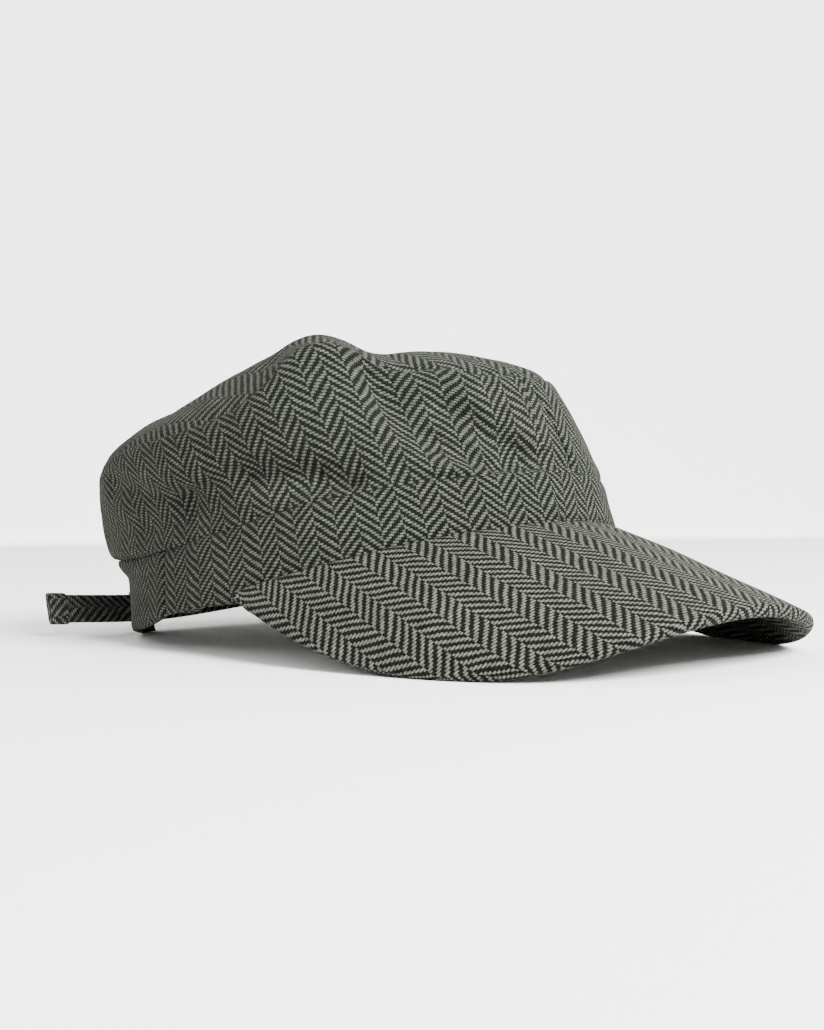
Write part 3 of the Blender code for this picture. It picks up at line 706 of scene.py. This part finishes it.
def cloth_places(u, v, size):
    """Places on the flat cloth for loops made by cloth_loops, in mm, going on round the edges."""
    both_u = np.concatenate([u, u[::-1], u[:1]], 0)
    turn = size * 1000
    inner_v = 2 * v[-1:] + turn - v[::-1]
    both_v = np.concatenate([v, inner_v, inner_v[-1:] + turn], 0)
    return np.swapaxes(np.stack([both_u, both_v], -1), 0, 1)


def band_arc(angle):
    """Length along the band's top from the front centre, in metres, for any angle."""
    fine = np.linspace(-math.pi, math.pi, 1441)
    run = run_length(oval(BAND_TOP_HALF_WIDTH, BAND_TOP_HALF_LENGTH, fine), 0)
    return np.interp(angle, fine, run - run[-1] / 2)


def step_angle(size):
    """Angle that half of a gap takes up on the band."""
    return size / (BAND_TOP_HALF_WIDTH + BAND_TOP_HALF_LENGTH)


def band_piece(name, start, end, seed, material):
    """One length of the band between two seams, its seam allowances pressed under the cloth."""
    columns = round(abs(band_arc(end) - band_arc(start)) / BAND_COLUMN)
    angles = np.linspace(start + step_angle(SEAM_GAP), end - step_angle(SEAM_GAP), columns)
    tall = band_tall(angles)
    low = -(BRIM_THICK + BAND_TUCK) * smooth(TUCK_NONE, TUCK_FULL, np.abs(angles)) / tall
    high = 1 - SEAM_CLOSE / tall
    rise = low + (high - low) * np.linspace(0, 1, BAND_ROWS)[:, None]
    angle = np.broadcast_to(angles, rise.shape)
    outer = band_surface(angle, rise)
    along = band_arc(angle)
    under_top = (1 - rise) * tall
    over_hem = rise * tall
    from_ends = np.minimum(along - along[:, :1], along[:, -1:] - along)
    move = seam_pull(under_top, along, CROWN_BAND_SEED, BAND_SEAM_GATHER) * off_the_end(angle)
    move = move + seam_pull(from_ends, over_hem, seed, BAND_END_GATHER)
    move = move - HEM_ROLL * np.exp(-(over_hem / HEM_ROLL_WIDTH) ** 2) * (over_hem > -0.001)
    wave = BAND_WAVE * ruffle(along, over_hem, BAND_WAVE_SIZE, seed + 5)
    move = move + wave * smooth(0, BAND_WAVE_FROM, rise)
    outer = outer + grid_normals(outer) * move[..., None]
    # The band is cut one stripe over from the crown, so that their slants cross at the seam
    below = (rise - 1) * tall
    stripes = STRIPE_SHIFT_MM + STRIPE_YARNS * YARN_MM
    u = (along + below * grain_lean("band", along)) * 1000 + stripes
    places = cloth_places(u, below * BAND_YARN_CLOSER * 1000, BAND_CLOTH)
    return skin(name, cloth_loops(outer, BAND_CLOTH), places, material)


def crown_side(name, hand, seed, material):
    """Half of the crown's side, from the front seam to the back seam, with folds, gathers and
    puckers. hand is -1 for the wearer's right and 1 for the left."""
    steps = np.linspace(0, 1, SIDE_ROWS)[:, None]
    front = FRONT_SEAM_LEAN * (1 - steps ** FRONT_SEAM_CURVE)
    start, end = (front, math.pi) if hand > 0 else (-math.pi, front)
    gap = step_angle(SEAM_GAP)
    share = np.linspace(0, 1, SIDE_COLUMNS)
    angles = start + gap + (end - start - 2 * gap) * share
    give = SEAM_CLOSE / (CROWN_HEIGHT - BAND_SIDE_HEIGHT)
    low = opening_rise(angles) + give
    rise = low + (1 - give - low) * steps
    outer = side_surface(angles, rise)
    up = run_length(outer, 0) + opening_rise(angles) * OPENING_CLOTH
    along = band_arc(angles)
    under_top = up[-1:] - up
    over_band = up - up[:1]
    from_front = np.abs(angles - front) * HEAD_HALF_LENGTH
    from_back = np.abs(math.pi - np.abs(angles)) * HEAD_HALF_LENGTH
    move = seam_pull(over_band, along, CROWN_BAND_SEED) * off_the_end(angles)
    move = move + seam_pull(under_top, along, CROWN_TOP_SEED, TOP_SEAM_GATHER)
    move = move + seam_pull(from_front, up, seed, FRONT_SEAM_GATHER)
    move = move + seam_pull(from_back, up, seed + 3, BACK_SEAM_GATHER)
    move = move + fold_depth(angles, rise, FINE_FOLDS)
    held = smooth(0, SIDE_RUFFLE_HELD, over_band) * smooth(0, SIDE_RUFFLE_HELD, under_top)
    move = move + held * SIDE_RUFFLE * ruffle(along, up, SIDE_RUFFLE_SIZE, seed + 7)
    normal = facing(side_surface, angles, np.clip(rise, 0.01, 0.99))
    outer = outer + normal * move[..., None]
    u = (along + up * grain_lean("crown", along)) * 1000 + STRIPE_SHIFT_MM
    places = cloth_places(u, up * CROWN_YARN_WIDER * 1000, CROWN_CLOTH)
    loops = cloth_loops(outer, CROWN_CLOTH)
    turned = seam_allowance(angles[0], loops[:, -1])
    fold = run_length(np.concatenate([loops[:, -1:], turned], 1), 1)[:, 1:] * 1000
    fold = np.stack([0 * fold + u[0][:, None], places[:, -2, 1:2] + fold], -1)
    last = fold[:, -1:] + np.array([0, CROWN_CLOTH * 1000])
    places = np.concatenate([places[:, :-1], fold, last], 1)
    return skin(name, np.concatenate([loops, turned], 1), places, material)


def seam_allowance(angles, edge):
    """The crown's cloth turned down inside the band's top, fading out over the back opening."""
    inside = 1 - smooth(BACK_END - ALLOWANCE_FADE, BACK_END, np.abs(angles))
    tall = band_tall(angles)
    wall = facing(band_surface, angles, 0 * angles + 0.5)
    loops = []
    for depth, down in ((1, 0.0), (1, 1.0), (0, 1.0), (0, 0.0)):
        rise = 1 - (ALLOWANCE_DOWN * down + SEAM_GAP) / tall
        away = BAND_CLOTH + SEAM_GAP + ALLOWANCE_CLOTH * depth
        tucked = band_surface(angles, rise) - wall * away
        hemmed = edge + wall * SEAM_GAP * (1 - depth) - np.array([0, 0, SEAM_GAP]) * (1 + down)
        loops.append(hemmed + (tucked - hemmed) * inside[:, None])
    return np.stack(loops, 1)


def crown_top(name, material):
    """The top panel, on a square grid bent to its round outline, seamed to both sides."""
    widest = math.pi / 2 * TOP_GRID_DRAW
    spread = np.sin(np.linspace(-1, 1, TOP_GRID) * widest) / math.sin(widest)
    s, t = np.meshgrid(spread, spread)
    x = s * np.sqrt(1 - t ** 2 / 2)
    y = t * np.sqrt(1 - s ** 2 / 2)
    reach = np.minimum(np.hypot(x, y), 1)
    angle = np.arctan2(x, -y)
    rim = plain_side(angle, np.ones_like(angle))[..., :2] - TOP_MIDDLE
    half = np.linalg.norm(rim, axis=-1)
    reach = reach * (1 - 0.5 * SEAM_GAP / half)
    outer = top_surface(angle, reach)
    under_rim = (1 - reach) * half
    along = band_arc(angle)
    plan = outer[..., :2]
    held = smooth(0, TOP_RUFFLE_HELD, under_rim)
    move = seam_pull(under_rim, along, CROWN_TOP_SEED, TOP_SEAM_GATHER)
    hills = ruffle(plan[..., 0], plan[..., 1], TOP_RUFFLE_SIZE, TOP_SEED)
    move = move + TOP_RUFFLE * held * hills
    outer = outer + grid_normals(outer) * move[..., None]
    u = plan[..., 0] * 1000
    v = plan[..., 1] * 1000
    both_u = np.concatenate([u, u[::-1], u[:1]], 0)
    both_v = np.concatenate([v, v[::-1], v[:1]], 0)
    places = np.swapaxes(np.stack([both_u, both_v], -1), 0, 1)
    return skin(name, cloth_loops(outer, CROWN_CLOTH), places, material)


def flat_rulings(root, edge):
    """Lay the brim's straight runs flat, side by side from the front centre: how far across each
    one lies, and where its middle lies along it."""
    run = edge - root
    run /= np.linalg.norm(run, axis=-1, keepdims=True)
    middle = (root + edge) / 2
    step = np.diff(middle, axis=0)
    heading = (run[1:] + run[:-1]) / 2
    slid = np.sum(step * heading, axis=-1)
    apart = np.linalg.norm(step - slid[:, None] * heading, axis=-1)
    across = np.concatenate([[0], np.cumsum(apart)])
    along = np.concatenate([[0], np.cumsum(slid)])
    return across - across.mean(), along


def brim_cloth_places(root, edge):
    """Flat cloth places of the brim's loops in metres: along the runs over the top, square to the
    edge round the nose, and back again below."""
    across, along = flat_rulings(root, edge)
    half = np.linalg.norm(edge - root, axis=-1) / 2
    rim = np.stack([across, along + half], -1)
    heading = np.gradient(rim, axis=0)
    heading /= np.linalg.norm(heading, axis=-1, keepdims=True)
    square = np.stack([-heading[:, 1], heading[:, 0]], -1)[:, None]
    share = np.linspace(-1, 1, BRIM_ROWS)
    flat = np.stack([across[:, None] + 0 * share, along[:, None] + half[:, None] * share], -1)
    round_edge = BRIM_THICK * (1 + 2 * BRIM_NOSE_REACH)
    steps = np.linspace(0, 1, BRIM_NOSE_POINTS + 2)[1:-1][:, None]
    nose = rim[:, None] + square * round_edge * steps
    under = flat[:, ::-1] + square * round_edge
    back = flat[:, :1] - np.array([0, BRIM_THICK])
    return np.concatenate([flat, nose, under, back], 1)


def brim_piece(name, material):
    """The stiff brim with its cloth wrapped round the edge."""
    turns = np.sin(np.linspace(1, -1, BRIM_STATIONS) * math.pi / 2 * BRIM_TIP_STOP)[:, None]
    root, edge = brim_root(turns), brim_edge(turns)
    run = edge - root
    length = np.linalg.norm(run, axis=-1, keepdims=True)
    along = run / length
    behind, ahead = (brim_root(turns + step) + brim_edge(turns + step) for step in (-0.01, 0.01))
    up = np.cross(ahead - behind, -along)
    up /= np.linalg.norm(up, axis=-1, keepdims=True)
    thick = BRIM_THICK * (BRIM_TIP_THICK + (1 - BRIM_TIP_THICK) * smooth(0.0, BRIM_TIP_RUN, length))
    rim = edge + up * thick
    share = np.linspace(0, 1, BRIM_ROWS)[None, :, None]
    arch = 4 * share * (1 - share)
    top = root + (rim - root) * share + up * BRIM_BOW * arch
    from_seam = np.clip(share * length / BRIM_ROOT_ROLL, 0, 1)
    top = top - up * SEAM_DIP * (1 - from_seam) ** 2
    drop = np.array([0, 0, 1.0]) * thick / np.maximum(up[..., 2:], 0.5)
    under = top - drop * (1 - share) - up * thick * share
    turn = np.linspace(0, math.pi, BRIM_NOSE_POINTS + 2)[1:-1][None, :, None]
    nose = edge + up * thick * (1 + np.cos(turn)) / 2 + along * thick * BRIM_NOSE_REACH * np.sin(turn)
    hills = ruffle(top[..., 0], top[..., 1], BRIM_SWELL_SIZE, BRIM_SEED)[..., None]
    top = top + up * BRIM_SWELL * hills * arch
    loops = np.concatenate([top, nose, under[:, ::-1]], 1)
    # Nothing of the brim comes closer to the head than the band does
    band_oval = np.array([HEAD_HALF_WIDTH, HEAD_HALF_LENGTH]) + BRIM_CLEAR
    loops[..., :2] /= np.minimum(np.linalg.norm(loops[..., :2] / band_oval, axis=-1, keepdims=True), 1)
    places = brim_cloth_places(root[:, 0], edge[:, 0]) * 1000 * np.array(BRIM_YARN_WIDER)
    return skin(name, loops, places, material)


def strap_path():
    """Inner face of the strap in plan, from its sewn end to its free tip, on a fine smooth run."""
    sewn = np.linspace(BACK_END - STRAP_SEWN / HEAD_HALF_LENGTH, BACK_END, 30)
    rise = np.full_like(sewn, STRAP_BAND_RISE)
    wall = band_surface(sewn, rise)[:, :2]
    out = facing(band_surface, sewn, rise)[:, :2]
    wall = wall + out / np.linalg.norm(out, axis=1)[:, None] * STRAP_CLEAR
    near = band_surface(np.array(-BACK_END), np.array(STRAP_BAND_RISE))[:2]
    clear = near[1] + SEAM_GAP + SLIDE_BAR + SLIDE_CLEAR
    bridge = np.linspace(wall[-1, 0] - STRAP_LEAVE, near[0], 70)
    tail = near[0] - STRAP_TAIL * np.linspace(0.012, 1, 70)
    x = np.concatenate([bridge, tail])
    y = clear + (wall[-1, 1] - clear) * smooth(near[0] * STRAP_STRAIGHT, wall[-1, 0], x)
    return np.concatenate([wall, np.stack([x, y], -1)])


def back_strap(name, material):
    """The folded cloth strap, thicker and wider at its hemmed free end, with a rounded edge."""
    path = strap_path()
    heading = np.gradient(path, axis=0)
    heading /= np.linalg.norm(heading, axis=1)[:, None]
    side = np.stack([heading[:, 1], -heading[:, 0]], -1)
    near = band_surface(np.array(-BACK_END), np.array(STRAP_BAND_RISE))[0]
    past = near - path[:, 0]
    hem_start = STRAP_TAIL - STRAP_HEM - STRAP_HEM_STEP / 2
    hemmed = smooth(hem_start, hem_start + STRAP_HEM_STEP, past)
    from_tip = np.clip((STRAP_TAIL - past) / STRAP_TIP_ROUND, 0, 1)
    tip = np.sqrt(np.clip(1 - (1 - from_tip) ** 2, 0.05, 1))
    cloth = STRAP_CLOTH + (STRAP_HEM_CLOTH - STRAP_CLOTH) * hemmed
    half = (STRAP_WIDTH + (STRAP_HEM_WIDTH - STRAP_WIDTH) * hemmed) / 2 - STRAP_CORNER * (1 - tip)
    centre = STRAP_CLOTH / 2
    tail = STRAP_TAIL_RISE * (np.maximum(past, 0) / STRAP_TAIL) ** STRAP_TAIL_CURL
    middle = STRAP_HEIGHT + tail + STRAP_FAR_RISE * smooth(0, STRAP_FAR_RUN, -past)
    levels = np.sin(np.linspace(-1, 1, STRAP_ROWS) * math.pi / 2)
    rounded = np.clip(1 - np.abs(levels) ** STRAP_EDGE_POWER, 0, 1) ** 0.5
    run = run_length(path, 0)
    loops = []
    for row in range(len(path)):
        bulge = rounded * cloth[row] / 2 * tip[row]
        wave = STRAP_WAVE * waver(run[row] + levels * STRAP_WAVE_LEAN, STRAP_WAVE_SIZE, STRAP_SEED)
        faces = []
        for turned, way in ((levels, 1), (levels[::-1], -1)):
            away = centre + (bulge if way > 0 else -bulge[::-1])
            away = away + (wave if way > 0 else wave[::-1])
            plan = path[row] + side[row] * away[:, None]
            faces.append(point(plan, middle[row] + turned * half[row]))
        loops.append(np.concatenate(faces))
    loops = np.array(loops)
    girth = run_length(np.concatenate([loops, loops[:, :1]], 1), 1) * 1000
    length = np.broadcast_to(run[:, None] * 1000, girth.shape)
    return skin(name, loops, np.stack([girth + STRAP_STRIPE_MM, length], -1), material)


def add_node(tree, kind, inputs=(), output=0, **settings):
    """Add one shader node with its settings and links, and give back one of its outputs. Inputs go
    by place or by name, and each is a value or another node's output."""
    made = tree.nodes.new("ShaderNode" + kind)
    for name, value in settings.items():
        setattr(made, name, value)
    for name, value in inputs.items() if isinstance(inputs, dict) else enumerate(inputs):
        if isinstance(value, bpy.types.NodeSocket):
            tree.links.new(value, made.inputs[name])
        else:
            made.inputs[name].default_value = value
    return made.outputs[output]


def new_material(name, **surface):
    """A Principled material with its surface values set on the shader itself."""
    material = bpy.data.materials.new(name)
    material.use_nodes = True
    tree = material.node_tree
    shader = tree.nodes["Principled BSDF"]
    for socket, value in surface.items():
        shader.inputs[socket.replace("_", " ")].default_value = value
    return material, tree, shader


def herringbone_wool(name, light, dark):
    """Coarse carded wool, woven two over and two under. The slant turns back every stripe and skips
    two picks there, so the eye sees rows of short slanting strokes that meet without joining. The
    pale yarn runs across the stripes over a near-black one, as small oblong beads."""
    material, tree, shader = new_material(name, Roughness=0.9, Sheen_Weight=0.012, Sheen_Roughness=0.6,
                                          Specular_IOR_Level=0.03)
    place = add_node(tree, "UVMap", uv_map="cloth")
    centred = (-(DRIFT_YARNS + QUIVER_YARNS) / 2,) * 3
    yarns = add_node(tree, "VectorMath", (place, (1 / YARN_MM,) * 3, centred), operation="MULTIPLY_ADD")
    for size, yarns_off in ((DRIFT_MM, DRIFT_YARNS), (QUIVER_MM, QUIVER_YARNS)):
        shift = add_node(tree, "TexNoise", {"Vector": place, "Scale": 1 / size, "Detail": 1.5}, "Color",
                         noise_dimensions="2D")
        yarns = add_node(tree, "VectorMath", (shift, (yarns_off,) * 3, yarns), operation="MULTIPLY_ADD")
    across = add_node(tree, "SeparateXYZ", (yarns,), "X")
    upward = add_node(tree, "SeparateXYZ", (yarns,), "Y")
    warp_count = add_node(tree, "Math", (across,), operation="FLOOR")
    weft_count = add_node(tree, "Math", (upward,), operation="FLOOR")
    in_warp = add_node(tree, "Math", (across,), operation="FRACT")
    in_weft = add_node(tree, "Math", (upward,), operation="FRACT")

    # Which yarn is on top: step counts 0 and 1 where the warp is, 2 and 3 where the weft is
    stripe = add_node(tree, "Math", (warp_count, 2 * STRIPE_YARNS), operation="FLOORED_MODULO")
    turned = add_node(tree, "Math", (2 * STRIPE_YARNS + 1, stripe), operation="SUBTRACT")
    rising = add_node(tree, "Math", (stripe, STRIPE_YARNS - 0.5), operation="LESS_THAN")
    slant = add_node(tree, "Mix", {"Factor": rising, "A": turned, "B": stripe}, "Result")
    slid = add_node(tree, "Math", (weft_count, slant), operation="ADD")
    step = add_node(tree, "Math", (slid, 4), operation="FLOORED_MODULO")
    weft_up = add_node(tree, "Math", (step, 1.5), operation="GREATER_THAN")

    # Height of each float: round across the yarn, and arched over the two yarns that it crosses
    back = add_node(tree, "Math", (1, in_warp), operation="SUBTRACT")
    weft_side = add_node(tree, "Mix", {"Factor": rising, "A": back, "B": in_warp}, "Result")
    weft_run = add_node(tree, "Math", (weft_side, step), operation="ADD")
    warp_run = add_node(tree, "Math", (in_weft, step), operation="ADD")
    heights = []
    for width, run in ((in_warp, warp_run), (in_weft, weft_run)):
        turn = add_node(tree, "Math", (run, math.pi / 2), operation="MULTIPLY")
        arch = add_node(tree, "Math", (turn,), operation="SINE")
        arch = add_node(tree, "Math", (arch,), operation="ABSOLUTE")
        arch = add_node(tree, "Math", (arch, FLOAT_ARCH, 1 - FLOAT_ARCH), operation="MULTIPLY_ADD")
        turn = add_node(tree, "Math", (width, math.pi), operation="MULTIPLY")
        round_over = add_node(tree, "Math", (turn,), operation="SINE")
        heights.append(add_node(tree, "Math", (round_over, arch), operation="MULTIPLY"))
    height = add_node(tree, "Mix", {"Factor": weft_up, "A": heights[0], "B": heights[1]}, "Result")

    # Painted shade: the hollows between the yarns are darkened where the float's height falls. Then uneven
    # dye and spinning: each row is the tone's swing, the noise's size in mm and its detail
    shade_and_dye = add_node(tree, "Math", (height, PAINTED_CREVICE_SHADE, 1 - PAINTED_CREVICE_SHADE), operation="MULTIPLY_ADD")
    for swing, size, detail in ((0.9, BEAD_MM, 0), (0.7, SLUB_MM, 2), (0.24, PATCH_MM, 2)):
        spot = add_node(tree, "TexNoise", {"Vector": place, "Scale": 1 / size, "Detail": detail}, "Fac",
                        noise_dimensions="2D")
        spot = add_node(tree, "Math", (spot, swing, 1 - swing / 2), operation="MULTIPLY_ADD")
        shade_and_dye = add_node(tree, "Math", (shade_and_dye, spot), operation="MULTIPLY")
    for count in (warp_count, weft_count):
        yarn = add_node(tree, "TexWhiteNoise", {"W": count}, "Value", noise_dimensions="1D")
        yarn = add_node(tree, "Math", (yarn, YARN_SWING, 1 - YARN_SWING / 2), operation="MULTIPLY_ADD")
        shade_and_dye = add_node(tree, "Math", (shade_and_dye, yarn), operation="MULTIPLY")

    # Loose fibres: real ones are some 0.03 mm thick, and are drawn coarser so that they show
    strands = {"Vector": place, "Scale": 1 / FIBRE_MM, "Detail": 3, "Roughness": 0.65}
    fibre = add_node(tree, "TexNoise", strands, "Fac", noise_dimensions="2D")
    stray = add_node(tree, "Math", (fibre, FUZZ, -FUZZ / 2), operation="MULTIPLY_ADD")
    mixed = add_node(tree, "Math", (stray, weft_up), operation="ADD", use_clamp=True)
    wool = add_node(tree, "Mix", {"Factor": mixed, "A": linear(dark), "B": linear(light)}, "Result",
                    data_type="RGBA")
    wool = add_node(tree, "VectorMath", {0: wool, "Scale": shade_and_dye}, operation="SCALE")
    relief = add_node(tree, "Math", (fibre, FIBRE_RELIEF, height), operation="MULTIPLY_ADD")
    bump = add_node(tree, "Bump", {"Height": relief, "Strength": 0.85, "Distance": YARN_RELIEF_MM / 1000})
    tree.links.new(wool, shader.inputs["Base Color"])
    tree.links.new(bump, shader.inputs["Normal"])
    return material


def dark_nickel(name):
    """Nickel-plated steel wire, tumbled and darkened: soft gloss with fine drawn lines and dull
    handled spots."""
    material, tree, shader = new_material(name, Metallic=0.95)
    place = add_node(tree, "TexCoord", output="Object")
    lines = add_node(tree, "Mapping", {"Vector": place, "Scale": (9000, 9000, 600)})
    drawn = add_node(tree, "TexNoise", {"Vector": lines, "Scale": 1, "Detail": 2}, "Fac")
    dull = add_node(tree, "TexNoise", {"Vector": place, "Scale": 400, "Detail": 3}, "Fac")
    tint = add_node(tree, "Mix", {"Factor": dull, "A": linear("#4A4A4C"), "B": linear("#7B7A78")}, "Result",
                    data_type="RGBA")
    rough = add_node(tree, "Math", (dull, 0.30, 0.20), operation="MULTIPLY_ADD")
    bump = add_node(tree, "Bump", {"Height": drawn, "Strength": 0.3, "Distance": 0.00002})
    tree.links.new(tint, shader.inputs["Base Color"])
    tree.links.new(rough, shader.inputs["Roughness"])
    tree.links.new(bump, shader.inputs["Normal"])
    return material


def studio_floor():
    """Pale paper sweep: a round floor that curves up into a wall on every side."""
    profile = [(FLOOR_RADIUS, 0.0)]
    for t in np.linspace(0.1, math.pi / 2, 14):
        profile.append((FLOOR_RADIUS + SWEEP_RADIUS * math.sin(t), SWEEP_RADIUS * (1 - math.cos(t))))
    profile.append((FLOOR_RADIUS + SWEEP_RADIUS, WALL_TOP))
    turns = np.linspace(0, 2 * math.pi, 97)[:-1]
    points = [(r * math.cos(a), r * math.sin(a), z) for r, z in profile for a in turns]
    points.append((0.0, 0.0, 0.0))
    faces = []
    size = len(turns)
    for j in range(size):
        k = (j + 1) % size
        faces.append((len(points) - 1, j, k))
        for i in range(0, size * (len(profile) - 1), size):
            faces.append((i + j, i + size + j, i + size + k, i + k))
    mesh = bpy.data.meshes.new("studio_floor")
    mesh.from_pydata(points, [], faces)
    mesh.shade_smooth()
    floor = bpy.data.objects.new("studio_floor", mesh)
    bpy.context.scene.collection.objects.link(floor)
    mesh.materials.append(new_material("matt_paper", Base_Color=linear("#FAFAF9"), Roughness=0.95)[0])


def direction(azimuth, elevation):
    """Unit vector from the cap, turned in degrees from its front and raised from the floor."""
    a, e = math.radians(azimuth), math.radians(elevation)
    return Vector((math.sin(a) * math.cos(e), -math.cos(a) * math.cos(e), math.sin(e)))


def panel_light(name, place, shines, size, power):
    """A large soft square light at a place, shining one way."""
    data = bpy.data.lights.new(name, "AREA")
    data.shape = "SQUARE"
    data.size = size
    data.energy = power
    lamp = bpy.data.objects.new(name, data)
    lamp.location = place
    lamp.rotation_euler = shines.to_track_quat("-Z", "Y").to_euler()
    bpy.context.scene.collection.objects.link(lamp)


def photo_camera():
    """The camera where the photo was taken from, and the frame's height on a 36 mm sensor."""
    data = bpy.data.cameras.new("photo_camera")
    data.sensor_fit = "VERTICAL"
    data.sensor_height = CAMERA_FRAME_MM
    data.lens = CAMERA_LENS_MM
    data.clip_start = 0.01
    camera = bpy.data.objects.new("photo_camera", data)
    away = direction(CAMERA_AZIMUTH, CAMERA_ELEVATION)
    camera.location = CAMERA_TARGET + away * CAMERA_DISTANCE
    turn = (-away).to_track_quat("-Z", "Y").to_matrix().to_4x4()
    roll = Euler((0, 0, CAMERA_ROLL)).to_matrix().to_4x4()
    camera.rotation_euler = (turn @ roll).to_euler()
    bpy.context.scene.collection.objects.link(camera)
    bpy.context.scene.camera = camera


def studio_light():
    """Even white surround, one broad key from the front, a faint panel above the far side, and a
    panel behind the cap that lights the wall and nothing else."""
    world = bpy.data.worlds.new("studio_white")
    world.use_nodes = True
    surround = world.node_tree.nodes["Background"].inputs
    surround["Color"].default_value = linear("#FFFFFF")
    surround["Strength"].default_value = 0.6
    bpy.context.scene.world = world
    key, above, behind = direction(0, 36), direction(110, 60), direction(137, BACKDROP_TILT)
    panel_light("key_panel", CAMERA_TARGET + key * 1.5, -key, 0.7, 98)
    panel_light("top_panel", CAMERA_TARGET + above * 1.6, -above, 1.0, 14)
    panel_light("backdrop_panel", behind * 0.7 + Vector((0, 0, BACKDROP_HEIGHT)), behind, 1.6, 120)


def dress(piece, node):
    """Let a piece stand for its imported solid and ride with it."""
    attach(piece, "root")
    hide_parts(node)
    return piece


photo_camera()
studio_floor()
studio_light()

crown_wool = herringbone_wool("crown_herringbone_wool", "#50544B", "#161816")
band_wool = herringbone_wool("band_herringbone_wool", "#51554C", "#121412")
# The brim's copy of the wool has its pale yarn lighter and its dark yarn darker than the crown's: painted
# light that brightens and sharpens the weave of the brim's lit top
brim_wool_painted_light = herringbone_wool("brim_herringbone_wool_painted_light", "#5F6359", "#090B09")
# The strap's copy of the wool has both yarns lighter than the crown's: painted light that lifts the strap
# out of the shade it hangs in behind the band
strap_wool_painted_light = herringbone_wool("strap_herringbone_wool_painted_light", "#5E605B", "#222421")

band_front = dress(band_piece("band_front_cloth", -BAND_SIDE_SEAM, BAND_SIDE_SEAM, 101, band_wool),
                   "band_front")
band_right = dress(band_piece("band_back_right_cloth", -BACK_END, -BAND_SIDE_SEAM, 103, band_wool),
                   "band_back_right")
band_left = dress(band_piece("band_back_left_cloth", BAND_SIDE_SEAM, BACK_END, 105, band_wool),
                  "band_back_left")
side_right = dress(crown_side("crown_side_right_cloth", -1, 107, crown_wool),
                   "crown_side_right")
side_left = dress(crown_side("crown_side_left_cloth", 1, 109, crown_wool),
                  "crown_side_left")
top = dress(crown_top("crown_top_cloth", crown_wool), "crown_top")
brim = dress(brim_piece("brim_cloth", brim_wool_painted_light), "brim")
dress(back_strap("back_strap_cloth", strap_wool_painted_light), "back_strap")

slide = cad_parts["strap_slide"]
slide.data.materials.clear()
slide.data.materials.append(dark_nickel("dark_nickel_wire"))
